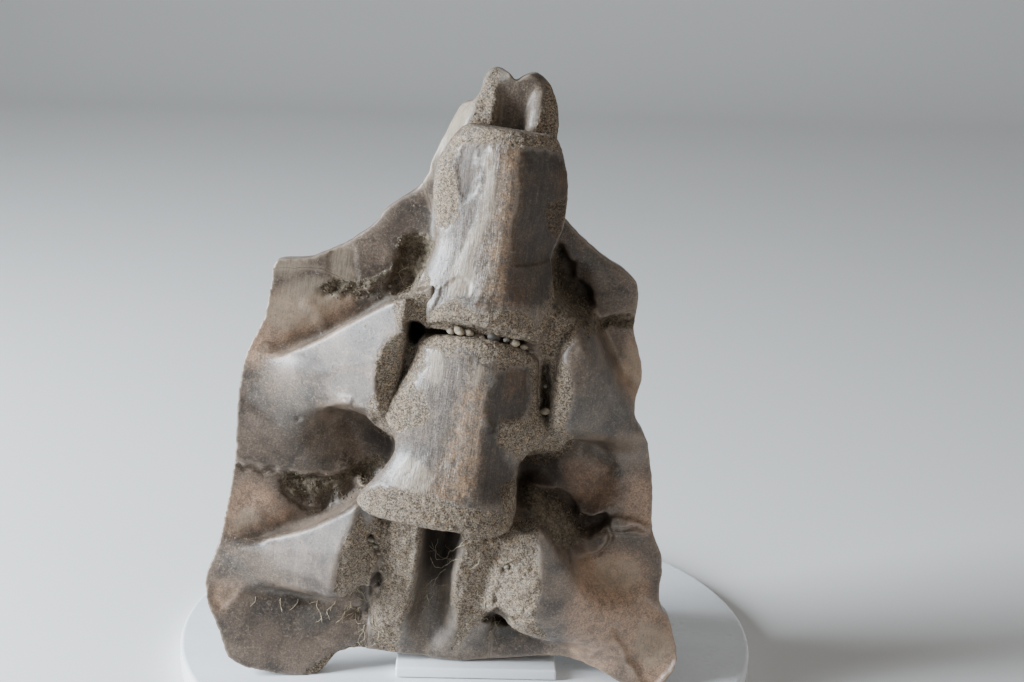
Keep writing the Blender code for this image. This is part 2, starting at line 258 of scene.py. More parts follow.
def outline_depth(a, b, outline):
    """Depth of each point inside an outline, negative outside it."""
    closed = [*outline, outline[0]]
    inside = np.zeros(a.shape, bool)
    for (x0, y0), (x1, y1) in zip(closed, closed[1:]):
        if y0 != y1:
            crosses = (y0 > b) != (y1 > b)
            inside ^= crosses & (a < x0 + (b - y0) * (x1 - x0) / (y1 - y0))
    away = path_distance(a, b, closed)[0]
    return np.where(inside, away, -away)


def close_to(a, b, points, reach):
    """Which points lie in the box of a path, widened by reach."""
    low, high = np.min(points, axis=0) - reach, np.max(points, axis=0) + reach
    return (a > low[0]) & (a < high[0]) & (b > low[1]) & (b < high[1])


def smooth_path(points, closed=False, steps=4):
    """Catmull-Rom curve through points."""
    points = [np.array(point, float) for point in points]
    last = len(points)
    curve = []
    for i in range(last if closed else last - 1):
        if closed:
            p0, p1, p2, p3 = (points[(i + k) % last] for k in (-1, 0, 1, 2))
        else:
            p0, p1, p2, p3 = (points[min(max(i + k, 0), last - 1)] for k in (-1, 0, 1, 2))
        for step in range(steps):
            t = step / steps
            curve.append(
                (2 * p1 + (p2 - p0) * t + (2 * p0 - 5 * p1 + 4 * p2 - p3) * t * t
                 + (3 * p1 - p0 - 3 * p2 + p3) * t**3) / 2
            )
    return curve if closed else [*curve, points[-1]]


def stroke(height, a, b, rise_by, width, path):
    """Raises a rounded ridge along a path, or cuts a groove where rise_by is negative."""
    path = smooth_path(path)
    near = close_to(a, b, path, 3 * width)
    if near.any():
        away, share = path_distance(a[near], b[near], path)
        ends = eased(0, 0.18, share) * eased(0, 0.18, 1 - share)
        height[near] += rise_by * np.exp(-((away / width) ** 2)) * (0.15 + 0.85 * ends)


def inside(a, b, outline, edge):
    """1 inside a rounded outline and 0 outside it, over a soft edge."""
    outline = smooth_path(outline, closed=True, steps=3)
    found = np.zeros(a.shape)
    near = close_to(a, b, outline, edge + 0.5)
    if near.any():
        found[near] = eased(-edge, edge, outline_depth(a[near], b[near], outline))
    return found


# ---------------------------------------------------------------- details of the inner face

# Left ribs above the plate, as cross-sections: u, then (v, height) from the lower foot over the
# crest to the plate behind it
UPPER_RIB = (
    (-93, ((80, 0), (88, 0), (96, 0), (104, 0.1), (110, 0.1), (113, 0.1), (116, 0.1), (119, 0),
     (122, 0))),
    (-84, ((80, 0.2), (88, 0.7), (97, 1.5), (105, 2.2), (112, 2.5), (116, 2.4), (119, 2.2),
     (123, 0.8), (127, 0))),
    (-76, ((80, 0.4), (88, 1.4), (97, 3.2), (106, 5), (114, 6.2), (119, 6.3), (123.2, 6.2),
     (126, 1.8), (130, 0))),
    (-68, ((82, 0.5), (90, 2.2), (98, 5.2), (107, 9), (117, 12), (123, 12.5), (128.7, 12.6),
     (130.7, 3), (134, 0))),
    (-60, ((88, 0.8), (96, 3.5), (103, 9.5), (110, 14.5), (120, 18), (128, 18.6), (134.9, 18.8),
     (136.5, 3), (139, 0))),
    (-56, ((95, 0.8), (100, 4), (105, 13.5), (111, 18.6), (122, 21.4), (131, 21.9), (138.6, 22),
     (140.2, 3), (143, 0))),
    (-52, ((101, 0.5), (103.5, 4), (106.5, 18), (112, 22.8), (125, 24.8), (134, 25.1),
     (142.2, 25.2), (143.8, 3), (146, 0))),
    (-46, ((102, 0), (104, 3), (106.5, 22), (112, 27.6), (128, 29.7), (138, 30), (147.3, 30),
     (148.9, 3), (151.5, 0))),
    (-40, ((102, 0), (104, 3), (106.5, 26), (112, 32.2), (130, 34.5), (141, 34.8), (152.3, 34.8),
     (153.9, 4), (156.5, 0))),
    (-36, ((102, 0), (104.3, 3), (106.8, 29), (112, 35), (130, 37.6), (141, 38), (155.5, 38),
     (157.1, 4), (159.5, 0))),
    (-30, ((102, 0), (104.5, 3), (107, 31.5), (112, 38), (130, 41.4), (141, 42), (158.3, 42),
     (160, 6), (163, 0))),
    (-26, ((102, 0), (104.5, 3), (107, 33), (112, 39.5), (130, 42.8), (141, 43.5), (158.8, 43.5),
     (161, 7), (164, 0))),
)
LOWER_RIB = (
    (-93, ((20, 0), (25, 0), (29, 0.1), (33, 0.2), (37, 0.2), (40, 0.2), (43, 0.2), (46, 0),
     (50, 0))),
    (-87, ((20, 0), (25, 0.3), (29, 0.8), (33, 1.4), (37, 2), (40, 2.2), (43, 2.2), (46, 0.5),
     (50, 0))),
    (-80, ((20, 0), (25, 0.5), (28, 2), (32, 3.6), (37, 4.6), (41, 5.1), (44.6, 5.2), (47, 1),
     (51, 0))),
    (-75, ((20, 0), (25, 0.6), (28, 3), (32, 5.2), (37, 6.4), (42, 6.8), (46.2, 7), (48, 1.2),
     (52, 0))),
    (-68, ((21, 0), (25, 0.7), (28, 5.5), (32, 8.2), (37, 9.8), (43, 10.4), (49.8, 10.6), (51.6, 2),
     (55, 0))),
    (-60, ((22, 0), (25.3, 0.8), (28, 9), (32, 13), (38, 15.5), (46, 16.2), (54.4, 16.4), (56, 2.5),
     (59.5, 0))),
    (-54, ((22.5, 0), (25.5, 1), (28, 12), (32, 17.4), (38, 20), (48, 21.1), (58.5, 21.3),
     (60.1, 3), (63, 0))),
    (-48, ((23, 0), (25.5, 1.5), (28, 15), (32, 21.2), (38, 24.2), (50, 26), (63.5, 26.2),
     (65.1, 3), (68, 0))),
    (-42, ((24, 0), (26, 2), (28.5, 18), (32.5, 25), (38, 28.6), (52, 31), (68.7, 31.1), (70.3, 4),
     (73, 0))),
    (-37, ((24.5, 0), (27, 2), (29.5, 19), (33, 26.5), (39, 30.8), (54, 34.2), (73.4, 35), (75, 6),
     (79, 0))),
    (-30, ((25, 0), (28, 0.5), (32, 1), (36, 23), (42, 28.5), (54, 32), (73.6, 34), (75.2, 6),
     (79, 0))),
    (-24, ((25, 0), (28, 0.5), (32, 1), (36, 20), (42, 26), (54, 31), (73.6, 33), (75.2, 6),
     (79, 0))),
)
CREST = 6  # which of those points is the crest
# Where their broken heads fall away, in (u, v)
UPPER_HEAD = (
    (-24.9, 149.5), (-26.9, 147.6), (-29.3, 145.2), (-31.7, 142.4), (-34, 138.7), (-35.4, 134.7),
    (-36.4, 129.6), (-36.5, 124.6), (-35.9, 119.6), (-34.1, 114.8), (-32.8, 110.7), (-31, 106),
    (-8, 106), (-8, 150),
)
LOWER_HEAD = (
    (-36.5, 73), (-38.2, 66.9), (-39.2, 61.5), (-40.8, 56), (-42, 50), (-43, 44), (-43.7, 38),
    (-44, 31), (-43.8, 22), (-16, 22), (-16, 74),
)
# (cross-sections, lowest v, highest v, u where the solid's own head takes over, outline of the
# head, how steeply it falls)
LEFT_RIBS = (
    (UPPER_RIB, 80, 170, (-27.5, -25.5), UPPER_HEAD, 1.05),
    (LOWER_RIB, 20, 79, (-31, -26), LOWER_HEAD, 0.5),
)
CRISP_RIBS = (  # where their edges stay sharp
    ((-82, 128), (-62, 147), (-42, 166), (-22, 172), (-22, 104), (-44, 106), (-54, 116),
     (-66, 124)),
    ((-80, 52), (-62, 66), (-44, 82), (-34, 90), (-28, 84), (-28, 26), (-46, 24), (-60, 30),
     (-68, 44)),
)

# Bone between the rib heads and the centra: (height, soft edge, outline in (u, v))
FACE_FILLS = (
    (34, 1.6, ((19, 141), (33, 141.5), (38, 150), (38, 158), (33, 163), (27, 167), (19, 167))),
    (41, 1.4, ((-18, 148.5), (-27, 148.5), (-29, 151), (-29.5, 156), (-28, 160), (-23, 163.5),
     (-18, 165))),
    (31, 1.6, ((-20, 98), (-28, 99), (-36, 103), (-38, 110), (-33, 117), (-20, 117))),
    (30, 1.6, ((20, 98), (30, 99), (41, 103), (43, 110), (38, 115.5), (20, 116))),
    (29.5, 1.2, ((-14, 100), (-31, 100), (-33, 118), (-31, 130), (-28, 139.5), (-14, 139.5))),
    (24, 1.0, ((-14, 138), (-28, 138), (-29, 150), (-14, 151))),
    (19, 2.4, ((-6, 214), (12, 214), (12, 242), (7, 251), (-1, 251), (-6, 242))),
    (33, 1.6, ((18, 108), (35, 108), (36, 120), (35, 148), (18, 149))),
)
# Where the right lower rib is broken off down to the plate: (soft edge, outline in (u, v))
FACE_LEVELLED = (
    (5.5, ((29, 92), (37, 81), (43, 75.5), (51, 65), (59, 53.5), (67, 47), (80, 45), (104, 50),
     (104, 92))),
)

# Deep crack and raised shelf beside the right lower rib's head
CRACK = (
    (28.6, 87.3), (35.9, 84.2), (41.9, 82.2), (48.5, 76.1), (53.3, 71.7), (59.7, 74.8),
    (63.8, 79.6), (61.4, 82.1), (57.7, 79.9), (52, 79.9), (48.4, 84.4), (43.9, 87.5), (35.4, 87.5),
)
SHELF = (
    (47.8, 70.5), (50.2, 65.8), (54.7, 63.1), (60.8, 65.7), (64.6, 69.6), (64.3, 73.8), (61, 74.5),
    (53.4, 71.3),
)

# Ridges and grooves: (rise, width, path on the sight plane)
FACE_STROKES = (
    # lip of the left upper rib over its hollow
    (1.6, 2.2, ((-57.5, 107.5), (-53, 110), (-48, 111.5), (-43, 110), (-37.5, 106.5), (-33, 104))),
    (1.2, 1.3, ((-49, 112.5), (-46.5, 112.2), (-44.5, 111))),
    # groove along the foot of the left lower rib
    (-1.6, 2.4, ((-80, 27), (-72, 29.5), (-62, 30.5), (-52, 29.5), (-43, 30))),
    # suture across the left plates and its upper branch
    (-1.5, 0.9, ((-92, 81.5), (-87, 81), (-83.5, 79.3), (-80.5, 80), (-76, 79), (-72, 80.6),
     (-69, 79))),
    (-2.2, 1.0, ((-69, 79), (-66.5, 80.5), (-62, 79.2), (-58, 79), (-53, 80.4), (-48.5, 80),
     (-42.5, 82.5), (-36.5, 86), (-31.5, 89.5))),
    (-2.0, 1.0, ((-68, 78), (-66.5, 73.5), (-64, 70.5), (-60, 68.5), (-56, 66.5), (-50, 67),
     (-45.5, 69.5))),
    # step of the suture above the left upper rib
    (-1.6, 1.1, ((-63, 153.5), (-59, 154), (-56.5, 156), (-52, 155), (-50.5, 156), (-44.5, 156),
     (-41, 157.5), (-38.5, 157))),
    (-2.6, 1.6, ((-38.5, 157), (-36, 160.5), (-34, 164.5), (-33.5, 172), (-30, 178))),
    # right sutures
    (-1.8, 1.0, ((38, 158.5), (42.5, 155.5), (46, 154.5), (48.5, 158), (51.5, 160), (55, 159.4),
     (59.5, 160.4), (64, 159.5))),
    (-1.4, 0.9, ((64, 75), (67, 75.8), (71, 76.5), (74, 77.8), (77.5, 78), (80, 77.2), (84, 78.5))),
    (-1.6, 0.9, ((51, 60.5), (58, 63.5), (62.5, 66.5), (65.5, 72.5), (65, 75.5))),
    # upper border of the right lower rib
    (-1.6, 1.6, ((32, 79), (37, 74.5), (41, 70.5), (46, 66), (49.5, 62.3))),
    (-1.0, 0.9, ((49, 63), (52.5, 57), (56, 55), (59.5, 51))),
    # edge of the chipped right corner
    (0.9, 1.2, ((54, 25), (64.5, 22.5), (74, 30), (80.5, 22.5), (88, 14))),
    # right upper rib's crest and the valley beside it
    (1.0, 2.6, ((36, 152), (41, 148.5), (47.5, 140.5), (55, 133.5), (60.5, 128.5), (65.5, 120.5))),
    (-2.2, 2.6, ((40, 157), (44, 153.5), (50.5, 146.5), (58, 139.5), (64, 133.5))),
    # slot beside the head of the right upper rib
    (-9.0, 1.3, ((29, 141), (29.5, 137), (30.3, 131), (31.2, 124), (32.6, 115.5))),
    # cracks of the neural arch
    (-3.2, 0.9, ((-31.5, 60), (-29.5, 58), (-27.5, 55.5), (-25.6, 52), (-24, 50.5))),
    (-2.4, 0.9, ((-24, 50), (-24.4, 45), (-23, 38), (-25, 33.5), (-26, 30), (-25.5, 22))),
    (-2.4, 0.6, ((24.5, 51.5), (25.5, 52.8), (27, 55.5), (30, 56.6), (33, 58))),
    (-1.8, 0.7, ((14, 63.7), (17.5, 64.6), (20, 65.4), (22.5, 67.3), (26.5, 68.6))),
    (-1.0, 1.2, ((23.5, 51), (25, 46), (24, 41), (25.5, 37))),
    # ridges of the groove's walls
    (1.0, 1.4, ((-10.5, 62), (-10.5, 50), (-10.3, 41), (-9.8, 34), (-12.8, 27), (-13, 19))),
    (1.0, 1.4, ((8.8, 61), (8.4, 54), (7, 45.5), (6.4, 38), (9.8, 34), (10.8, 23))),
    # trough at the top
    (1.0, 2.2, ((-7, 246), (-6.6, 241), (-6, 234), (-5.4, 228))),
    (1.0, 2.0, ((11.6, 246), (12, 239), (11.6, 233), (11.4, 228))),
    # faint swellings and creases of the plates
    (0.5, 3.0, ((-70, 150), (-62, 146), (-58, 137))),
    (-0.5, 2.0, ((-88, 110), (-80, 104), (-70, 101))),
    (0.4, 2.5, ((-80, 62), (-70, 66), (-62, 62))),
)

# Basins and swellings: (rise, soft edge, outline on the sight plane)
FACE_BASINS = (
    (-3.0, 6.0, ((-50, 105), (-43.5, 107.5), (-37.5, 105), (-31.5, 102), (-27, 99.5), (-26.5, 93.5),
     (-30.5, 86.5), (-36, 84.5), (-40, 90), (-44, 98))),
    (-3.5, 9.0, ((-54, 104), (-44, 108), (-31, 104), (-24, 96), (-30, 84), (-44, 84), (-52, 90),
     (-55, 98))),
    (-4.5, 4.0, ((-42, 106), (-37, 104), (-30, 101), (-26, 94), (-30, 88), (-35, 94))),
    (-3.0, 1.6, ((-32, 97), (-27, 98), (-25.5, 91), (-30, 88))),
    (-4.5, 6.0, ((22, 84), (22, 102), (34, 106), (50, 106), (60, 102), (62, 92), (56, 84), (46, 82),
     (34, 80))),
    (-4.5, 0.9, CRACK),
    (3.0, 1.6, SHELF),
    (2.0, 0.9, ((63.4, 79.9), (67.9, 81.8), (76.3, 80.5), (81, 76.6), (73.1, 75), (65.8, 74.8))),
    (-1.6, 1.2, ((32, 76), (40, 77.5), (44, 74), (48, 70), (50, 62), (44, 66), (36, 72))),
    (-5.5, 1.4, ((27, 186), (31, 182), (34, 179), (35, 173.5), (40, 172.5), (43, 168.5),
     (43.6, 164), (42.4, 156.5), (39, 159.5), (34.5, 164.5), (29.5, 169), (26.5, 176))),
    (-3.0, 2.0, ((-32.5, 179), (-24, 180), (-23.5, 165.5), (-27.5, 160), (-31, 157.5), (-35, 159.5),
     (-34.5, 166.5), (-33, 173))),
    (-1.8, 1.6, ((-67, 78.5), (-62, 80), (-51.5, 78.8), (-42.5, 81), (-34.5, 85.5), (-29.5, 87),
     (-32, 79.5), (-39, 75), (-45, 70.5), (-50, 68.5), (-57, 68.5), (-62, 70.5), (-65.5, 74))),
    (-0.8, 1.2, ((-90.5, 27), (-88.5, 30.6), (-79.6, 31), (-79.2, 28.6), (-84, 21.8), (-86, 19.8),
     (-89, 22.5))),
    (-1.2, 1.0, ((83, 49), (87.5, 46.5), (94, 43), (98, 38), (100, 30), (99, 22), (94, 14),
     (89, 13), (81, 23), (75, 30), (73, 35), (79.5, 38.5), (80.5, 44))),
    (-4.0, 0.9, ((25.4, 36.6), (31, 32.6), (29.5, 30.2), (21, 30.6), (22.4, 33.3))),
    (-5.0, 0.9, ((-27, 42.2), (-24.3, 43.4), (-23.3, 40), (-25, 38), (-27.3, 39))),
    (-8.0, 1.0, ((-26.5, 146.5), (-21.5, 147), (-20, 143.5), (-22.5, 140.5), (-25, 141))),
    (-0.8, 0.7, ((-65, 101.6), (-63.3, 102.4), (-63, 103.6), (-64.6, 103.6))),
    (-0.5, 0.8, ((-60.5, 171), (-52, 173.5), (-49, 159), (-56.5, 157.5), (-60.5, 163))),
)

# Open, spongy bone on the inner face
FACE_SPONGY = (
    ((-28, 143), (-34, 139), (-36, 134.5), (-37.5, 129.5), (-36.5, 123.5), (-34.5, 116), (-36, 108),
     (-31, 104), (-25, 104), (-23, 118), (-21, 133), (-22, 140)),
    ((-30, 155.5), (-33, 154), (-31, 147), (-29, 143), (-20, 142), (-20, 158), (-26, 160)),
    ((-35, 68), (-38, 59.5), (-40, 53.5), (-40.5, 47.5), (-41, 41), (-41, 34), (-37.5, 31.6),
     (-33.5, 33.5), (-29, 38), (-26.5, 44), (-25.5, 50.5), (-27, 55.5), (-31.5, 62)),
    ((-31.5, 61), (-26, 70), (-10.5, 70), (-9.6, 50.5), (-8.6, 34), (-11.8, 27.5), (-12, 14),
     (-13, 12), (-21.5, 14), (-25.5, 24), (-26, 32.5), (-23, 37.5), (-24, 43.5), (-24, 50.5),
     (-27.5, 55.5)),
    ((7.5, 62), (7.5, 72), (24.5, 74), (36, 76), (37, 66), (38.5, 57.5), (40.5, 51.5), (41, 40),
     (40.5, 33.5), (47, 27.5), (42.5, 26.5), (34, 28), (29.5, 29.5), (20.5, 30), (16.5, 26.5),
     (13, 20.5), (9.4, 15.5), (9.8, 23), (8.8, 34), (5.5, 37), (6, 45.5), (7.4, 54)),
    ((31, 141), (35, 141.5), (39, 135.5), (41.5, 128.5), (41.5, 121.5), (40.5, 115), (38, 111.5),
     (33, 112), (29, 118), (27, 130), (27.5, 140)),
    ((26, 157), (32, 159.5), (39, 158), (39, 152.5), (35.5, 145), (32, 142), (26, 142)),
    ((11.5, 247), (15, 248), (18.5, 243), (21, 236.5), (21, 225), (12, 225), (11.6, 236),
     (12.3, 243)),
    ((-9.5, 247), (-7, 250), (-5.8, 243.5), (-5.2, 233.5), (-4, 225), (-14.5, 225), (-13, 231.5),
     (-12.6, 237.5), (-11, 243.5)),
    ((-48, 0), (-40.5, 6.5), (-35.5, 10.5), (-24.5, 15), (-28, 8), (-37, 2), (-43.5, -5)),
    ((16, 114), (30, 117), (40, 115), (45, 108.5), (41, 101), (30, 97), (16, 97)),
    ((-16, 118), (-33, 118), (-38, 112), (-36, 104), (-28, 99), (-16, 99)),
)
# Rough sediment that still fills cracks and hollows
FACE_SEDIMENT = (
    ((-67.5, 79.5), (-62, 81.5), (-51.5, 79.5), (-42.5, 82), (-34.5, 86.5), (-27, 88), (-30, 79.5),
     (-39, 74), (-44.5, 69.5), (-50, 67.5), (-57, 67), (-62.5, 70), (-66, 73)),
    ((-34, 181), (-21, 181), (-23, 165.5), (-26, 158.5), (-31, 156), (-36, 158), (-36, 166.5),
     (-34.5, 173)),
    ((-63, 156), (-56.5, 159.5), (-48, 160), (-42, 160), (-38, 163), (-37.5, 156), (-46, 154),
     (-57, 153.5)),
    ((28, 160), (35, 158), (43, 154.5), (44, 162), (41, 168), (35, 172), (30, 180), (26, 184),
     (25.5, 170)),
    ((42, 156), (48, 159.5), (58, 163), (63, 161), (60, 157.5), (52, 157.5), (45, 152.5)),
    ((27, 88), (36, 85), (46, 82), (54, 79), (55, 72), (49, 66), (44, 67), (39, 72), (34, 76),
     (30, 80)),
)
# Painted shade in the hollows, cracks, holes and canal, and on the rib faces and lower left lobe
# that turn from the light: (strength, soft edge, outline)
FACE_PAINTED_SHADE = (
    (1, 6.0, ((-46, 106), (-37.5, 106), (-31.5, 103), (-25, 100), (-24, 91), (-29, 86), (-33, 92),
     (-38, 99))),
    (0.9, 2.5, ((24.3, 99.6), (25.3, 92.7), (28.1, 87.7), (36.6, 87.7), (42, 91), (41, 98),
     (38, 101.9), (30.4, 102.5))),
    (1, 1.0, CRACK),
    (0.5, 4.0, ((26, 100), (46, 102), (60, 96), (60, 84), (50, 80), (34, 84))),
    (0.5, 2.5, SHELF),
    (1, 3.0, ((-9, 65.5), (-7, 69), (5, 66), (7.8, 62), (6.5, 56), (4.5, 48.5), (-0.5, 44),
     (-4, 45), (-7, 52), (-8.5, 59.5))),
    (0.65, 2.0, ((25, 184), (28, 187), (32, 182), (34, 179.5), (35, 173.5), (40, 173),
     (43.5, 168.5), (44, 164), (43, 155.5), (39, 158.5), (34.5, 163), (29.5, 167), (26, 175))),
    (1, 1.5, ((25.6, 37), (31.2, 32.8), (29.5, 29.8), (20.7, 30.2), (22.2, 33.4))),
    (1, 1.0, ((-27.2, 42.4), (-24, 43.6), (-23, 40), (-25, 37.8), (-27.6, 39))),
    (1, 1.5, ((-27, 147), (-21.5, 147.5), (-19.5, 143.5), (-22.5, 140), (-26, 140))),
    (0.15, 2.5, ((-36, 176), (-32.5, 178), (-31.5, 166), (-34, 159.5), (-37, 161))),
    (0.4, 8.0, ((-84.5, 28.5), (-76.9, 30), (-58.6, 29), (-44.4, 28), (-36, 27), (-28.9, 21.6),
     (-34, 14.5), (-50.9, 3.4), (-71.2, 2.7), (-81.9, 7.5))),
    (0.33, 8.0, ((-94, 118), (-64, 104), (-54, 86), (-66, 82), (-92, 84))),
    (0.4, 6.0, ((-82, 46), (-60, 54), (-44, 66), (-38, 66), (-41, 40), (-46, 32), (-62, 34),
     (-82, 36))),
    (0.22, 6.0, ((-66, 126), (-50, 138), (-36, 148), (-38, 122), (-42, 114), (-56, 114))),
    (0.45, 6.0, ((-50, 196), (-38, 204), (-30, 196), (-32, 184), (-44, 178))),
)
# Crumbled rock and bone: broken in small blocks
FACE_RUBBLE = (
    ((30, 86), (36, 85), (44, 82), (50, 80), (56, 78), (57, 72), (50, 64), (44, 68), (38, 74),
     (32, 79)),
    ((-67, 79), (-62, 81), (-51, 79.5), (-42, 82), (-34, 86), (-27, 88), (-30, 80), (-39, 75),
     (-45, 70), (-50, 68), (-57, 67.5), (-62.5, 70.5), (-66, 73.5)),
    ((-63, 156), (-56, 159), (-48, 159), (-42, 160), (-38, 162), (-37.5, 157), (-46, 154.5),
     (-57, 154)),
    ((-34, 181), (-22, 181), (-23, 165), (-28, 157), (-34, 160), (-36, 166), (-35, 173)),
    ((28, 160), (35, 158), (43, 155), (44, 162), (41, 168), (35, 172), (30, 180), (26, 184),
     (25, 170)),
    ((7.5, 62), (8, 70), (24, 73), (35, 75), (37, 66), (39, 57), (41, 50), (41, 40), (38, 34),
     (30, 30), (20, 31), (14, 27), (10, 36), (8, 48)),
    ((-30, 60), (-25, 68), (-12, 68), (-11, 50), (-11, 30), (-22, 20), (-25, 32), (-24, 50)),
)
# Warm and pale patches; one of the pale ones is painted light on the plate behind the upper left
# rib's crest
FACE_WARM = (
    ((83, 50), (87.5, 47.5), (94, 44), (99, 39), (102, 33.5), (103, 22), (97, 10), (91.5, 8),
     (87, 11), (80.5, 21.5), (74, 30), (72, 35.5), (79.5, 38.5), (80, 45)),
    ((60, 154.5), (65, 152), (69, 143), (71, 132.5), (71, 122), (64, 130), (58, 138),
     (59.5, 146.5)),
    ((67, 97), (78, 98), (84, 86), (84, 78), (77, 77.5), (70, 82)),
    ((-91.5, 27), (-88.5, 31.4), (-79, 31.8), (-79, 29), (-84, 21.2), (-86, 19), (-90, 22)),
    ((-80, 152), (-60, 152), (-48, 148), (-58, 138), (-70, 130), (-86, 122), (-90, 128),
     (-84, 142)),
    ((-84, 74), (-72, 73), (-66, 64), (-66, 56), (-84, 52), (-89, 60)),
    ((57, 66), (78, 67), (84, 56), (84, 44), (82, 26), (66, 10), (56, 24), (54, 44)),
    ((44, 100), (58, 101), (66, 92), (58, 84), (48, 88)),
)
FACE_PALE_AND_PAINTED_LIGHT = (
    ((-84, 163), (-79, 165.5), (-69, 167), (-69.5, 164.5), (-74.5, 160), (-79, 158), (-84, 158)),
    ((-19, 236), (-14, 238), (-11, 236), (-14, 230), (-17, 224), (-20, 216.5), (-23, 212),
     (-24, 206), (-26.5, 203), (-31, 201), (-31, 206), (-27, 214), (-25, 222), (-21.5, 231)),
    ((-60, 171), (-54, 172), (-51, 161), (-57, 159), (-60.5, 163)),
    ((-83, 61.5), (-78, 63.5), (-75, 59), (-77, 55.5), (-82, 53), (-85, 56)),
    ((59, 152), (64, 150), (69, 143), (71, 132.5), (70, 124), (65, 132), (60, 140)),
    # painted light: lifts the plate behind the upper left rib's crest out of the rib's shade
    ((-74, 157), (-62, 160), (-50, 160), (-42, 155), (-47, 150), (-56, 143), (-68, 135), (-80, 138),
     (-82, 146)),
    ((84, 39), (94, 37), (98, 28), (91, 20), (83, 25)),
    ((62, 63), (76, 65), (80, 58), (76, 52), (64, 51)),
)


class Face:
    """Height map of the shell's inner face, with masks of its finishes and of its painted shade and
    light, on a grid over the slab.
    """

    def __init__(self, step):
        self.step = step
        self.us = np.arange(FIELD_LOW[0], FIELD_HIGH[0] + step / 2, step)
        self.vs = np.arange(FIELD_LOW[1], FIELD_HIGH[1] + step / 2, step)
        self.u, self.v = np.meshgrid(self.us, self.vs)
        self.height = None
        self.shift = None  # how far each point lies up the slab from its place on the grid
        self.masks = {}

    def sample(self, values, u, v):
        """Values of a grid at points of the slab, read between its cells."""
        x = np.clip((u - self.us[0]) / self.step, 0, len(self.us) - 1.001)
        y = np.clip((v - self.vs[0]) / self.step, 0, len(self.vs) - 1.001)
        i, j = x.astype(int), y.astype(int)
        x, y = x - i, y - j
        low = values[j, i] * (1 - x) + values[j, i + 1] * x
        high = values[j + 1, i] * (1 - x) + values[j + 1, i + 1] * x
        return low * (1 - y) + high * y


def search_tree(meshes):
    """Ray search over the triangles of several meshes, in slab millimetres."""
    points, triangles, count = [], [], 0
    for mesh in meshes:
        mesh.calc_loop_triangles()
        corners = np.empty(len(mesh.loop_triangles) * 3, np.int32)
        mesh.loop_triangles.foreach_get("vertices", corners)
        points.append(arrays(mesh)[0])
        triangles.append(corners.reshape(-1, 3) + count)
        count += len(points[-1])
    return BVHTree.FromPolygons(np.concatenate(points).tolist(), np.concatenate(triangles).tolist())


def cast_face(face):
    """Reads the height of the packed bones from in front, widened by one cell and laid on the
    face's grid.
    """
    tree = search_tree(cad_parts[node].data for node in SEAMS)
    us = np.arange(FIELD_LOW[0], FIELD_HIGH[0] + CAST_STEP / 2, CAST_STEP)
    vs = np.arange(FIELD_LOW[1], FIELD_HIGH[1] + CAST_STEP / 2, CAST_STEP)
    down = Vector((0, 0, -1))
    found = np.empty((len(vs), len(us)))
    for j, v in enumerate(vs):
        for i, u in enumerate(us):
            hit = tree.ray_cast(Vector((u, v, 200)), down)[0]
            found[j, i] = hit.z if hit else -99
    wide = np.pad(found, 1, mode="edge")
    shifts = [wide[y:y + len(vs), x:x + len(us)] for y in range(3) for x in range(3)]
    found = np.max(shifts, axis=0)
    plain = rise(*np.meshgrid(us, vs))
    found = np.where(found < -50, plain, found)
    x = (face.us - us[0]) / CAST_STEP
    y = (face.vs - vs[0]) / CAST_STEP
    i, j = np.clip(x.astype(int), 0, len(us) - 2), np.clip(y.astype(int), 0, len(vs) - 2)
    x, y = x - i, (y - j)[:, None]
    rows = found[:, i] * (1 - x) + found[:, i + 1] * x
    return rows[j] * (1 - y) + rows[j + 1] * y


# ---------------------------------------------------------------- details of the centra

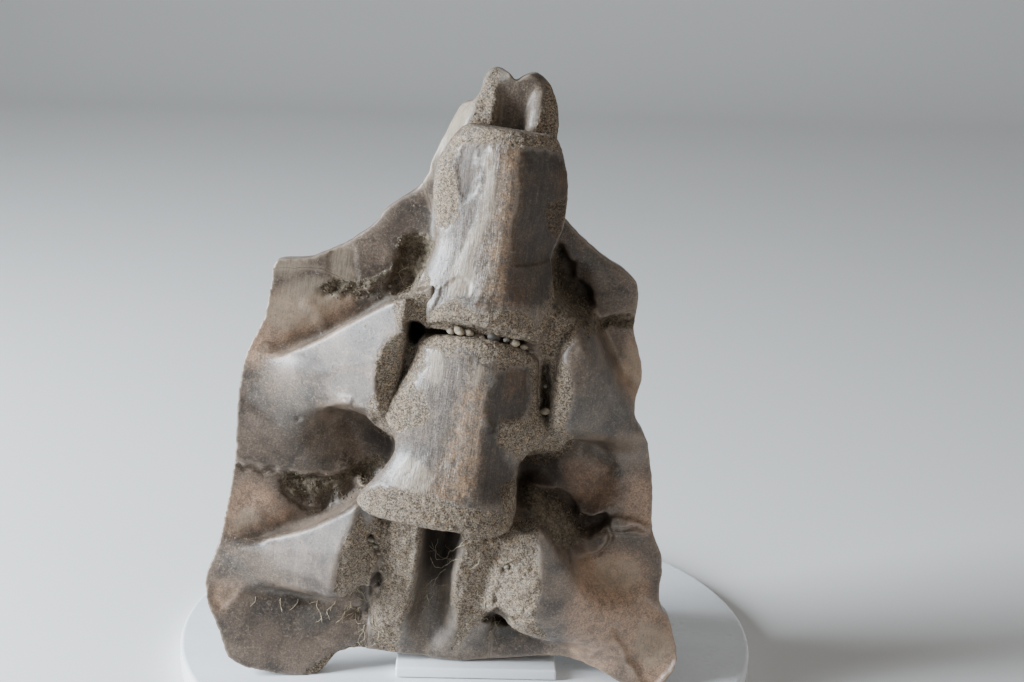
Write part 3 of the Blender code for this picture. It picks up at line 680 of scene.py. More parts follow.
CENTRUM_STROKES = (
    # ridges between the lit and the shaded side, and the joint between the centra
    (2.2, 9.0, ((4.5, 224), (4.6, 208), (5, 194), (5.5, 180), (6, 166), (6.5, 152))),
    (2.0, 9.0, ((8.5, 142), (8, 122), (8, 106), (8.3, 92), (8.3, 74))),
    (-2.4, 1.7, ((-27, 144.6), (-23, 144.7), (-19, 145.3), (-13.5, 146.8), (-10, 147.5),
     (-3, 147.7), (1.5, 147.3), (6.5, 147.2), (11, 147.2), (16, 146.5), (20.5, 145.5), (25, 143),
     (29, 142.6))),
    # upper centrum: keel, its two grooves, the nick and the rim of the left lens
    (0.18, 2.4, ((-4, 220), (-4, 214), (-3, 206.5), (-2.5, 199.5), (-3.5, 192.5), (-5.5, 186.5),
     (-7, 180.5), (-8, 174), (-10, 167), (-12, 160))),
    (-0.112, 1.3, ((-7.5, 216), (-6.8, 211), (-5.8, 204), (-6.3, 193.5), (-8.6, 186), (-11, 178),
     (-14, 168))),
    (-0.099, 0.5, ((-3.5, 221), (-2.6, 214))),
    (0.04, 0.9, ((-14.5, 219.6), (-16.6, 216), (-17.2, 211), (-17, 206), (-16, 202), (-14, 198),
     (-12, 196.5))),
    (0.03, 1.0, ((-14.5, 218.5), (-10.5, 214), (-8.4, 208.5), (-7.6, 203.5), (-8.6, 198),
     (-11, 190), (-14, 182))),
    (0.124, 1.6, ((3, 220), (3.6, 212), (3.6, 204), (3.8, 196), (4.5, 188), (4.8, 180), (5, 172),
     (6, 164))),
    (-0.081, 1.3, ((0, 218), (0.6, 208), (0.8, 198), (0.2, 188), (-1, 178), (-2, 170))),
    (-0.081, 2.2, ((9, 216), (10, 206), (10, 196), (10, 186), (10.5, 176))),
    (0.068, 1.6, ((16, 219), (17, 208), (17, 196), (16, 186), (16, 176))),
    (0.099, 0.8, ((-13, 166), (-16.5, 159.5), (-19.5, 152.5))),
    (0.112, 0.9, ((-4, 155.5), (-0.5, 161), (1, 167), (1.4, 172))),
    (0.099, 1.0, ((9.6, 157), (10, 163.5), (10.4, 170))),
    (-0.081, 0.9, ((4, 158), (5, 164), (5.6, 171))),
    (-0.081, 1.0, ((-8, 159), (-7, 165), (-6.4, 171))),
    (-0.112, 1.4, ((-21, 200), (-20, 193), (-18, 186), (-17, 178))),
    # lower centrum: the broad keel with its crease, waves on the left, notches in the top band
    (0.205, 3.0, ((1, 131), (2.4, 120), (2.6, 108), (2, 97), (1, 87), (0, 80))),
    (0.112, 1.0, ((8.4, 131), (7.6, 121), (7.4, 112), (7.8, 103), (8.2, 94), (8.3, 86), (8, 79))),
    (-0.167, 1.8, ((11, 128), (11, 118), (11, 108), (11.6, 98), (12, 88), (12, 80))),
    (0.124, 0.9, ((-3.4, 141.5), (-2.6, 137), (-1.6, 133))),
    (0.124, 0.9, ((0.8, 138.5), (2, 133), (3.2, 128.5))),
    (-0.099, 0.8, ((-1, 140), (0, 135), (1, 130))),
    (0.136, 1.7, ((-9, 133), (-7, 124), (-6.4, 114), (-8, 104), (-11.5, 95), (-15, 87),
     (-18.5, 80))),
    (-0.124, 1.5, ((-4, 128), (-2.4, 117), (-3, 106), (-5.5, 96), (-9, 87), (-12, 80))),
    (-0.124, 1.6, ((-13, 134), (-12, 124), (-11.6, 112), (-14, 102), (-18, 94))),
    (0.081, 0.9, ((-16, 99), (-20, 92), (-26, 84))),
    (-0.081, 0.8, ((-12, 98), (-16, 91), (-21, 83.5))),
    (0.068, 0.8, ((-6, 92), (-9, 85), (-12, 80.5))),
    (0.068, 0.7, ((-20.5, 137), (-18.4, 131), (-20.4, 126), (-20.6, 121), (-17, 119.5),
     (-14.4, 115), (-14.8, 109), (-17.5, 106))),
    (0.068, 0.9, ((16, 113), (24, 113), (32, 110))),
    (-0.081, 0.7, ((15, 110.5), (24, 110.6), (34, 107))),
    (0.068, 0.8, ((15, 108), (24, 108), (35, 104.5))),
    (-0.068, 0.7, ((17, 105.6), (26, 105.4), (34, 102.6))),
    (0.068, 0.8, ((19, 103.4), (27, 102.6))),
)
CENTRUM_BASINS = (
    (-3.0, 2.0, ((-25, 169), (-24, 158), (-25, 144), (-40, 140), (-40, 166))),
    (-3.0, 2.0, ((29.5, 168), (28.5, 158), (27.5, 142), (40, 138), (40, 166))),
    (-0.9, 1.7, ((-15.4, 218.6), (-12.5, 219.6), (-6.4, 220), (-9, 215), (-9, 206), (-9.5, 200.5),
     (-12, 197.5), (-15, 200), (-16.4, 204), (-16.9, 209.5), (-16.8, 215))),
    (-0.7, 0.8, ((6, 218), (9, 220.5), (15.5, 220.6), (21, 220), (25, 215.5), (27.5, 208),
     (29, 199), (26.5, 189), (24.5, 180), (11, 176), (8.4, 190), (8.4, 206))),
    (-0.6, 0.7, ((-13, 166), (-6.5, 167), (-6.4, 160), (-11.5, 158), (-15.6, 156), (-18.6, 152),
     (-17, 159))),
    (-1.1, 1.3, ((11, 133), (16.5, 135.5), (22, 136.5), (23.5, 133), (24.5, 125), (23, 117.5),
     (20, 115), (15, 113.4), (12, 109), (9.6, 114), (8.6, 121), (9.6, 127.5))),
)
# Ends that are drawn in beyond NARROW_FROM either side of the middle: (v, left share, right share)
NARROW_FROM = 16.0
CENTRUM_NARROWED = {
    "centrum_upper": ((140, 0.3, 0.7), (147, 0.38, 0.74), (151, 0.55, 0.8), (157, 0.8, 0.88),
     (164, 1.0, 0.95), (174, 1.0, 1.0)),
    "centrum_lower": ((60, 1.0, 0.5), (76, 1.0, 0.52), (84, 1.0, 0.7), (94, 1.0, 1.0),
     (150, 1.0, 1.0)),
}
CENTRUM_SPONGY = (
    ((-22.5, 168), (-20.5, 158), (-21.5, 152), (-19, 146), (-40, 140), (-40, 168)),
    ((27, 172), (25.5, 160), (24, 153), (22, 147), (40, 138), (42, 170)),
    ((-17, 221.4), (-15, 230), (-5.5, 232), (8, 232), (24, 232), (24, 221.6), (16, 222.2), (9, 222),
     (3, 220.6), (-0.5, 220.4), (-7, 221), (-15.5, 220)),
    ((-16, 221.5), (-17.6, 216), (-17.6, 207), (-15, 198), (-14, 190), (-19, 186.5), (-30, 186),
     (-32, 215), (-22, 222)),
    ((20.6, 201.5), (34, 204), (34, 190), (27, 187.5), (22, 191.5)),
    ((-21, 146), (-19.5, 153), (-15.5, 155.8), (-10, 157.8), (-5, 157.2), (-2, 155.4), (2.5, 155.8),
     (9.5, 157.2), (15, 158), (19.5, 156.5), (22.5, 153), (26, 150), (34, 146), (30, 140),
     (17, 145), (0, 146), (-12, 144)),
    ((-21.5, 148), (-21.8, 138.5), (-18, 138), (-12.5, 137.6), (-9.4, 135.6), (-6.4, 140.6),
     (-3.4, 140.4), (-1.6, 139), (0.6, 139.4), (2.4, 136.6), (9, 137.5), (10.4, 134), (16.5, 136),
     (21.8, 138), (27, 142), (27, 148)),
    ((22.8, 137.4), (27.5, 137), (32, 123), (30, 115), (25, 117), (25.2, 125.5), (24, 132.5)),
    ((15.5, 113.5), (25, 115.5), (36, 116), (44, 110), (44, 103), (35, 100), (27, 99), (19, 101.5),
     (14.4, 106)),
    ((-21, 139), (-18, 131), (-20.4, 125.5), (-20.4, 121), (-17, 119.6), (-14, 115), (-14.4, 109),
     (-17.5, 105.6), (-26, 103), (-40, 104), (-40, 122), (-28, 132)),
    ((-46, 68), (-38, 74), (-30.5, 80), (-21, 79.4), (-14, 80), (-10.5, 78.5), (-6, 79.4),
     (-1.5, 78), (6.5, 76.4), (18, 75.5), (29.5, 77), (40, 76), (42, 66), (20, 60), (-20, 58),
     (-40, 58)),
    ((19, 86), (24, 92), (30, 84), (36, 78), (26, 76), (21, 79)),
)
CENTRUM_WARM = (
    ((1, 220), (8, 220), (8.6, 206), (9, 188), (14, 174), (17, 160), (6, 160), (0, 170), (1, 180),
     (0.8, 200)),
    ((-2, 124), (8, 124), (9.5, 112), (9.8, 98), (10, 80), (-8, 80), (-6, 95), (-3.4, 108)),
    ((24, 214), (28, 210), (30, 198), (28, 190), (25.4, 196), (25, 206)),
    ((14, 134), (22, 133), (22, 124), (15, 120)),
)
# Painted shade on the right faces of the centra, which turn away from the key light
CENTRUM_PAINTED_SHADE = (
    ((6.4, 218), (9, 221), (15.5, 221), (21, 220.4), (26, 216), (32, 209), (34, 199), (30, 186),
     (27, 178), (26, 164), (16, 160), (9, 162), (8, 176), (8, 191), (8, 206)),
    ((11, 133.4), (16.5, 136), (22, 137), (24, 133), (24.8, 125), (23.4, 117), (20, 114.4),
     (15, 113), (15, 104), (20, 98), (24, 90), (22, 82), (10, 79), (9, 92), (8.6, 106), (8.4, 121),
     (9.4, 127.5)),
)
# Hollow of the upper centrum's lens, darkened as painted shade
CENTRUM_LENS = (
    ((-15.4, 218.6), (-9, 219), (-9.6, 206), (-10, 200), (-12, 196), (-15, 199), (-16.6, 205),
     (-16.8, 213)),
)
# Painted highlights along the keels and the lit flanks of the centra
CENTRUM_PAINTED_HIGHLIGHT = (
    ((-7, 218), (-4, 218), (-1, 206), (-0.6, 194), (-3, 184), (-7, 174), (-11, 168), (-14, 170),
     (-10, 181), (-5.4, 190), (-4.2, 200), (-6, 210)),
    ((-13, 174), (-9, 178), (-5, 176), (-4, 168), (-7, 161), (-13, 160)),
    ((-24, 90), (-18, 93), (-11, 90), (-9, 82), (-14, 79), (-24, 79)),
    ((-17, 137), (-12, 137), (-10, 129), (-13, 124), (-17, 128)),
    ((2, 134), (4.4, 134), (4, 127), (2.6, 128)),
)
# Painted sheen: a cool grey on the left faces of the centra that the key light strikes
CENTRUM_PAINTED_SHEEN = (
    ((-8, 219), (-2, 212), (-1, 200), (-3, 186), (-6, 172), (-8, 160), (-18, 156), (-22, 168),
     (-20, 180), (-14, 190), (-9, 198), (-8, 206)),
    ((-18, 136), (-6, 136), (-2, 124), (-3, 106), (-8, 92), (-13, 80), (-34, 80), (-26, 92),
     (-18, 104), (-13, 110), (-16, 122)),
)


def union(a, b, outlines, edge):
    """Mask of several outlines together."""
    found = np.zeros(a.shape)
    for outline in outlines:
        np.maximum(found, inside(a, b, outline, edge), out=found)
    return found


def frayed(a, b, points, amount, seed):
    """Places shifted by smooth noise, so that what they are tested against gets an uneven edge."""
    moved = []
    for places, k in ((a, 0), (b, 1)):
        shift = (lumps(points, 5.5, seed + 4 + k) + lumps(points, 2.6, seed + 2 * k)
                 + 0.5 * lumps(points, 1.1, seed + 1 + 2 * k))
        moved.append(places + amount * shift.reshape(places.shape))
    return moved


def undercut(face, base, plain):
    """How far the plate reaches in under the ribs' crests along v, and how far it dips there."""
    shift, sunk = np.zeros(face.u.shape), np.zeros(face.u.shape)
    for stations, _, _, (_, end), _, _ in LEFT_RIBS:
        places = np.array([station[0] for station in stations], float)
        crests = np.array([station[1][CREST] for station in stations], float)
        crest, height = (np.interp(face.u, places, crests[:, i]) for i in (0, 1))
        beside = eased(places[0], places[0] + 8, face.u) * (1 - eased(end - 3, end, face.u))
        behind = face.v - crest
        reach = np.minimum(0.2 * height + 2, 8) * eased(1, 6, height) * beside
        low = 1 - np.clip((base - plain) / np.maximum(0.88 * height, 0.1), 0, 1)
        shift -= reach * low**0.6 * eased(-3, -1.5, behind) * (1 - eased(3.5, 15, behind))
        dip = DIP_BEHIND_RIBS * beside * eased(1, 12, height)
        sunk += dip * eased(0.5, 3, behind) * (1 - eased(3, 14, behind))
    return shift, sunk


def rib_heights(face, stations):
    """Height of a rib above the plate, from its cross-sections."""
    places = np.array([station[0] for station in stations], float)
    lines = np.array([station[1] for station in stations], float)
    heights = np.zeros(face.u.shape)
    for i, u in enumerate(face.us):
        if places[0] <= u <= 0:
            line = [[np.interp(u, places, steps) for steps in lines[:, :, c].T] for c in (0, 1)]
            heights[:, i] = np.interp(face.vs, *line)
    return heights


def work_face(face, settings):
    """Softens the packed height, works the details into it and masks the finishes and the painted
    shade and light.
    """
    packed = cast_face(face)
    plain = rise(face.u, face.v)
    for stations, lowest, highest, takes_over, head, fall in LEFT_RIBS:
        rib = plain + rib_heights(face, stations)
        fallen = np.maximum(outline_depth(face.u, face.v, np.array(head)), 0)
        rib = np.maximum(rib - fall * fallen, plain)
        here = (face.u > stations[0][0]) & (face.v > lowest) & (face.v < highest)
        packed = np.where(here, rib + eased(*takes_over, face.u) * (packed - rib), packed)
    for edge, outline in FACE_LEVELLED:
        packed = plain + (packed - plain) * (1 - inside(face.u, face.v, outline, edge))
    near, far, sharp = (blurred(packed, share * settings.softening / MM / face.step)
                        for share in (1, FAR_SOFTENING, CRISP_SOFTENING))
    base = near + eased(56, 72, np.abs(face.u)) * (far - near)
    base += union(face.u, face.v, CRISP_RIBS, 3.0) * (sharp - base)
    for level, edge, outline in FACE_FILLS:
        base += np.maximum(level - base, 0) * inside(face.u, face.v, outline, edge)
    face.shift, sunk = undercut(face, base, plain)
    base -= sunk
    a, b = sight(face.u, face.v + face.shift, base)
    points = np.stack((face.u.ravel(), face.v.ravel(), base.ravel()), -1)
    height = base.copy()
    rough_a, rough_b = frayed(a, b, points, 0.6, SEED_FACE_EDGES)
    for rise_by, edge, outline in FACE_BASINS:
        height += rise_by * inside(rough_a, rough_b, outline, edge)
    for rise_by, width, path in FACE_STROKES:
        stroke(height, rough_a, rough_b, rise_by, width, path)
    face.masks = {
        "spongy": union(rough_a, rough_b, FACE_SPONGY, 1.0),
        "sediment": union(rough_a, rough_b, FACE_SEDIMENT, 1.2),
        # painted shade in the hollows and cracks and on faces turned from the light
        "deep": np.maximum.reduce([
            share * inside(rough_a, rough_b, outline, edge) for share, edge, outline in FACE_PAINTED_SHADE]),
        "warm": union(rough_a, rough_b, FACE_WARM, 4.0),
        "pale": union(rough_a, rough_b, FACE_PALE_AND_PAINTED_LIGHT, 2.5),
    }
    rubble = union(rough_a, rough_b, FACE_RUBBLE, 1.5)
    broad, middle, fine = (lumps(points, size, SEED_RUBBLE + k).reshape(rubble.shape)
                           for k, size in enumerate((5.0, 2.2, 1.6)))
    blocks = blurred(np.floor(3 * broad + middle) / RUBBLE_BLOCK, 0.35 / face.step) + 0.35 * fine
    height += settings.rubble / MM * rubble * blocks
    height -= SPONGY_SINK * face.masks["spongy"]
    lowest = plain - PLATE_THICKNESS + settings.thinnest / MM
    face.height = np.maximum(height, lowest)


def mesh_from(name, points, faces):
    """Mesh of equal-sided faces from arrays, with the points in slab millimetres."""
    mesh = bpy.data.meshes.new(name)
    mesh.vertices.add(len(points))
    mesh.vertices.foreach_set("co", to_row(points).astype(np.float32).ravel())
    mesh.loops.add(faces.size)
    mesh.loops.foreach_set("vertex_index", faces.astype(np.int32).ravel())
    mesh.polygons.add(len(faces))
    starts = np.arange(0, faces.size, faces.shape[1], dtype=np.int32)
    mesh.polygons.foreach_set("loop_start", starts)
    mesh.update(calc_edges=True)
    return mesh


def link(name, mesh):
    """Object that shows a mesh."""
    made = bpy.data.objects.new(name, mesh)
    bpy.context.scene.collection.objects.link(made)
    return made


def link_shape(name, shape):
    """Object made from a bmesh, which is freed."""
    mesh = bpy.data.meshes.new(name)
    shape.to_mesh(mesh)
    shape.free()
    return link(name, mesh)


def drop(helper):
    """Removes a helper object."""
    bpy.data.objects.remove(helper)


def back_height(u, v):
    """Height of the shell's outer face, with the furrows where its horny scutes met."""
    height = rise(u, v) - PLATE_THICKNESS
    for path in SCUTE_FURROWS:
        stroke(height, u, v, FURROW_DEPTH, FURROW_WIDTH, path)
    return height


def grid_quads(rows, columns):
    """Numbers of a grid's points, and the four-sided faces between them."""
    index = np.arange(rows * columns).reshape(rows, columns)
    quads = (index[:-1, :-1], index[:-1, 1:], index[1:, 1:], index[1:, :-1])
    return index, np.stack(quads, -1).reshape(-1, 4)


def block(face):
    """Closed block between the worked face and the outer face."""
    rows, columns = face.u.shape
    low = back_height(face.u, face.v)
    front = np.stack((face.u.ravel(), (face.v + face.shift).ravel(), face.height.ravel()), -1)
    back = np.stack((face.u.ravel(), face.v.ravel(), low.ravel()), -1)
    index, quads = grid_quads(rows, columns)
    below = rows * columns
    sides = []
    for line in (index[0, :], index[-1, ::-1], index[::-1, 0], index[:, -1]):
        sides.append(np.stack((line[1:], line[:-1], line[:-1] + below, line[1:] + below), -1))
    faces = np.concatenate([quads, quads[:, ::-1] + below, *sides])
    return link("shell_block", mesh_from("shell_block", np.concatenate([front, back]), faces))


def prism(name, outline):
    """Cutter that stands on an outline in (u, v)."""
    shape = bmesh.new()
    shape.faces.new([shape.verts.new((u, v, CUTTER_FOOT)) for u, v in outline])
    raised = bmesh.ops.extrude_face_region(shape, geom=list(shape.faces))["geom"]
    lifted = [item for item in raised if isinstance(item, bmesh.types.BMVert)]
    bmesh.ops.translate(shape, vec=(0, 0, CUTTER_HEIGHT), verts=lifted)
    for vert in shape.verts:
        vert.co = to_row(np.array(vert.co))
    bmesh.ops.recalc_face_normals(shape, faces=shape.faces)
    return link_shape(name, shape)


def uneven(points, spacing, amount, seed):
    """Outline with more corners, each shifted by noise that depends only on its place."""
    more = []
    for start, end in zip(points, [*points[1:], points[0]]):
        start, end = np.array(start, float), np.array(end, float)
        steps = max(1, round(np.hypot(*(end - start)) / spacing))
        more += [start + (end - start) * step / steps for step in range(steps)]
    more = np.array(more)
    places = np.column_stack((more, np.full(len(more), 3.3)))
    shift = np.column_stack((lumps(places, 2.3, seed), lumps(places, 2.3, seed + 1)))
    return more + amount * shift


def modified(obj, kind, **settings):
    """Adds one modifier."""
    made = obj.modifiers.new(kind.lower(), kind)
    for name, value in settings.items():
        setattr(made, name, value)
    return made


def bake(obj):
    """Applies an object's modifiers to its mesh."""
    graph = bpy.context.evaluated_depsgraph_get()
    mesh = bpy.data.meshes.new_from_object(obj.evaluated_get(graph))
    obj.modifiers.clear()
    obj.data = mesh
    return obj


def arrays(mesh):
    """Slab positions and slab normals of a mesh's vertices."""
    count = len(mesh.vertices)
    points, normals = np.empty(count * 3, np.float32), np.empty(count * 3, np.float32)
    mesh.vertices.foreach_get("co", points)
    mesh.vertex_normals.foreach_get("vector", normals)
    return to_slab(points.reshape(-1, 3).astype(float)), normals.reshape(-1, 3) @ AXES.T


def put_back(mesh, points):
    """Moves a mesh's vertices to new slab positions, none higher than the solids' top."""
    rows = to_row(points)
    rows[:, 2] = np.minimum(rows[:, 2], SHELL_TOP * MM)
    mesh.vertices.foreach_set("co", rows.astype(np.float32).ravel())
    mesh.update()


def store(mesh, name, values):
    """Stores a number on each of a mesh's vertices."""
    layer = mesh.attributes.get(name) or mesh.attributes.new(name, "FLOAT", "POINT")
    layer.data.foreach_set("value", values.astype(np.float32))


def set_mask(mesh, name, values):
    """Stores one finish mask on a mesh's vertices."""
    store(mesh, name, np.clip(values, 0, 1))


def convexity(mesh, points, normals, rounds):
    """How far each vertex stands out of its smoothed neighbourhood, mm."""
    ends = np.empty(len(mesh.edges) * 2, np.int32)
    mesh.edges.foreach_get("vertices", ends)
    first, second = ends.reshape(-1, 2).T
    count = len(points)
    degree = np.bincount(first, minlength=count) + np.bincount(second, minlength=count)
    soft = points.copy()
    for _ in range(rounds):
        for axis in range(3):
            values = soft[:, axis]
            total = np.bincount(first, values[second], count)
            total += np.bincount(second, values[first], count)
            soft[:, axis] = total / np.maximum(degree, 1)
    return ((points - soft) * normals).sum(1)


def paint_relief(mesh, points, normals):
    """Masks of the worn edges and of the dusty hollows."""
    outward = convexity(mesh, points, normals, 8)
    set_mask(mesh, "edge", eased(0.03, 0.28, outward))
    set_mask(mesh, "hollow", eased(0.02, 0.26, -outward))


def roughen(points, normals, spongy, sediment, depth):
    """Relief of open bone and of stuck sediment."""
    sizes = (1.7, 0.95, 3.2, 1.4, 9.0)
    wide, narrow, large, small, broad = (
        lumps(points, size, SEED_OPEN_BONE + k) for k, size in enumerate(sizes))
    pores = wide + 0.8 * narrow
    crumbs = large + 0.6 * small
    change = depth * spongy * pores + 2.2 * depth * sediment * crumbs + 0.06 * broad
    return points + normals * change[:, None]


def carapace_body(face, settings):
    """The nine bones of the carapace in one mesh: block, broken outline, even mesh and relief."""
    body = block(face)
    outline = uneven(smooth_path(EDGE, closed=True), 1.0, 0.35, SEED_OUTLINE)
    cutter = prism("fragment_outline", outline)
    modified(body, "BOOLEAN", operation="INTERSECT", solver="MANIFOLD", object=cutter)
    modified(body, "REMESH", mode="VOXEL", voxel_size=settings.mesh_size)
    modified(body, "SMOOTH", factor=0.5, iterations=3)
    bake(body)
    drop(cutter)
    mesh = body.data
    points, normals = arrays(mesh)
    spongy, sediment = bone_masks(face, points, normals)[:2]
    points = roughen(points, normals, spongy, sediment, settings.pore_depth / MM)
    foot = (DISC_THICKNESS + GAP) * MM
    short = np.maximum(foot - to_row(points)[:, 2], 0) / MM
    put_back(mesh, points + short[:, None] * AXES[:, 2])
    return body


def bone_masks(face, points, normals):
    """Open bone, sediment and how much it faces the viewer, at each point of the carapace."""
    front = eased(-0.25, 0.25, normals[:, 2])
    broken = (1 - front) * eased(-0.75, -0.35, normals[:, 2])
    patches = lumps(points, 7, SEED_BROKEN_SIDE) + 0.4 * lumps(points, 3, SEED_BROKEN_SIDE + 1)
    spongy, sediment = (
        front * face.sample(face.masks[mask], *points[:, :2].T) for mask in ("spongy", "sediment"))
    open_edge = broken * eased(-0.1, 0.5, patches)
    return np.maximum(spongy, 0.8 * open_edge), sediment, front


def split_bone(name, outline, body, face, settings):
    """Cuts one bone out of the carapace along its seams, and paints the masks of its finish and of
    its painted shade and light.
    """
    zigzag = uneven(outline, 1.1, 0.45, SEED_SEAMS)
    if settings.seam_gap:
        zigzag = drawn_in(zigzag, settings.seam_gap / MM / 2)
    cutter = prism("seams", zigzag)
    piece = link("bone_" + name, body.data.copy())
    modified(piece, "BOOLEAN", operation="INTERSECT", solver="MANIFOLD", object=cutter)
    bake(piece)
    drop(cutter)
    mesh = piece.data
    points, normals = arrays(mesh)
    spongy, sediment, front = bone_masks(face, points, normals)
    set_mask(mesh, "spongy", spongy)
    set_mask(mesh, "sediment", sediment)
    for mask in ("deep", "warm", "pale"):
        set_mask(mesh, mask, front * face.sample(face.masks[mask], *points[:, :2].T))
    set_mask(mesh, "cool", np.zeros(len(points)))
    paint_relief(mesh, points, normals)
    return piece


def drawn_in(outline, inset):
    """Outline moved inwards."""
    before, after = np.roll(outline, 1, axis=0), np.roll(outline, -1, axis=0)
    along = after - before
    along /= np.hypot(*along.T)[:, None]
    inward = np.stack((-along[:, 1], along[:, 0]), -1)
    area = (outline[:, 0] * after[:, 1] - after[:, 0] * outline[:, 1]).sum()
    return outline + inset * math.copysign(1, area) * inward


def centrum_piece(name, settings):
    """One vertebral body: the packed solid, smoothed, with its keel, edges and broken bone."""
    shape = bmesh.new()
    shape.from_mesh(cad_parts[name].data)
    bmesh.ops.remove_doubles(shape, verts=shape.verts, dist=1e-6)
    piece = link_shape("bone_" + name, shape)
    modified(piece, "REMESH", mode="VOXEL", voxel_size=2 * settings.mesh_size)
    modified(piece, "SMOOTH", factor=0.5, iterations=12)
    modified(piece, "SUBSURF", levels=1, render_levels=1)
    bake(piece)
    mesh = piece.data
    points = arrays(mesh)[0]
    rows = np.array(CENTRUM_NARROWED[name])
    beyond = np.sign(points[:, 0]) * np.maximum(np.abs(points[:, 0]) - NARROW_FROM, 0)
    kept = (np.interp(points[:, 1], rows[:, 0], rows[:, i]) for i in (1, 2))
    side = np.where(beyond < 0, *kept)
    points[:, 0] -= beyond * (1 - side)
    put_back(mesh, points)
    points, normals = arrays(mesh)
    a, b = frayed(*sight(*points.T), points, 0.8, SEED_CENTRUM_EDGES)
    away = EYE_SLAB - points
    facing = (normals * away).sum(1) / np.linalg.norm(away, axis=1)
    toward = eased(0.02, 0.3, facing)
    change = np.zeros(len(points))
    for rise_by, edge, outline in CENTRUM_BASINS:
        change += rise_by * inside(a, b, outline, edge)
    for rise_by, width, path in CENTRUM_STROKES:
        stroke(change, a, b, rise_by, width, path)
    ends = eased(0.6, 0.85, np.abs(normals[:, 1]))
    hidden = (1 - toward) * eased(0.1, 0.5, lumps(points, 12, SEED_HIDDEN_BONE) + 0.3)
    spongy = np.maximum.reduce((toward * union(a, b, CENTRUM_SPONGY, 1.3), 0.8 * ends, hidden))
    fibres = lumps(points * (1.0, 0.13, 1.0), 1.6, SEED_FIBRES)
    fibres += 0.6 * lumps(points * (1.0, 0.2, 1.0), 0.9, SEED_FIBRES + 1)
    change = toward * change - 0.35 * spongy + 0.06 * (1 - spongy) * fibres
    put_back(mesh, points + normals * change[:, None])
    points, normals = arrays(mesh)
    points = roughen(points, normals, spongy, np.zeros(len(points)), settings.pore_depth / MM)
    put_back(mesh, points)
    points, normals = arrays(mesh)
    # painted shade on the centra's right faces and in the lens
    dark, lens = union(a, b, CENTRUM_PAINTED_SHADE, 2.6), union(a, b, CENTRUM_LENS, 1.5)
    masks = {
        "spongy": spongy,
        "sediment": np.zeros(len(points)),
        "deep": toward * np.maximum(0.92 * dark, 0.62 * lens),
        "warm": toward * union(a, b, CENTRUM_WARM, 3.0),
        # painted sheen on the centra's lit left faces
        "cool": toward * union(a, b, CENTRUM_PAINTED_SHEEN, 3.0),
        # painted highlights on the centra
        "pale": 0.95 * toward * union(a, b, CENTRUM_PAINTED_HIGHLIGHT, 1.4),
    }
    for mask, values in masks.items():
        set_mask(mesh, mask, values)
    paint_relief(mesh, points, normals)
    return piece


# ---------------------------------------------------------------- finishes


class Wiring:
    """Adds nodes to a tree and joins them."""

    def __init__(self, tree):
        self.tree = tree

    def add(self, kind, inputs=None, **settings):
        node = self.tree.nodes.new(kind)
        for name, value in settings.items():
            setattr(node, name, value)
        for name, value in (inputs or {}).items():
            socket = node.inputs[name]
            if isinstance(value, bpy.types.NodeSocket):
                self.tree.links.new(value, socket)
            else:
                socket.default_value = value
        return node

    def number(self, operation, first, second=0.0, third=0.0, clamp=False):
        inputs = {0: first, 1: second, 2: third}
        return self.add("ShaderNodeMath", inputs, operation=operation, use_clamp=clamp).outputs[0]

    def vector(self, operation, *values):
        return self.add(
            "ShaderNodeVectorMath", dict(enumerate(values)), operation=operation).outputs[0]

    def scaled(self, vector, factor):
        inputs = {0: vector, "Scale": factor}
        return self.add("ShaderNodeVectorMath", inputs, operation="SCALE").outputs[0]

    def between(self, value, low, high, start=0.0, end=1.0):
        """Maps low..high to start..end with soft ends."""
        inputs = {"Value": value, "From Min": low, "From Max": high, "To Min": start, "To Max": end}
        node = self.add("ShaderNodeMapRange", inputs, interpolation_type="SMOOTHSTEP")
        return node.outputs["Result"]

    def blend(self, share, first, second, kind="MIX"):
        node = self.add("ShaderNodeMix", data_type="RGBA", blend_type=kind)
        for index, value in ((0, share), (6, first), (7, second)):
            if isinstance(value, bpy.types.NodeSocket):
                self.tree.links.new(value, node.inputs[index])
            else:
                node.inputs[index].default_value = value
        return node.outputs[2]

    def tinted(self, below, mask, strength, tone, factor=1.0):
        """Lays a tone over a colour, as strongly as a mask says."""
        return self.blend(self.number("MULTIPLY", mask, strength), below, colour(tone, factor))

    def mask(self, name):
        return self.add("ShaderNodeAttribute", attribute_name=name).outputs["Fac"]

    def shared(self, name, build, place):
        """Node of a shader group, which is built the first time."""
        node = self.add("ShaderNodeGroup", node_tree=bpy.data.node_groups.get(name) or build())
        self.tree.links.new(place, node.inputs["Position"])
        return node

    def noise(self, vector, scale, detail=3.0, roughness=0.55, distortion=0.0):
        inputs = {"Vector": vector, "Scale": scale, "Detail": detail, "Roughness": roughness,
                  "Distortion": distortion}
        return self.add("ShaderNodeTexNoise", inputs).outputs["Fac"]


def shader_group(name, inputs, outputs):
    """Empty node group with float or vector inputs and float outputs."""
    tree = bpy.data.node_groups.new(name, "ShaderNodeTree")
    for label, default in inputs:
        kind = "NodeSocketVector" if default is None else "NodeSocketFloat"
        socket = tree.interface.new_socket(label, in_out="INPUT", socket_type=kind)
        if default is not None:
            socket.default_value = default
    for label in outputs:
        tree.interface.new_socket(label, in_out="OUTPUT", socket_type="NodeSocketFloat")
    wires = Wiring(tree)
    return wires, wires.add("NodeGroupInput").outputs, wires.add("NodeGroupOutput").inputs


def wired_out(wires, outlet, found):
    """Joins what was found to a group's outputs, and gives the group."""
    for label, socket in found.items():
        wires.tree.links.new(socket, outlet[label])
    return wires.tree


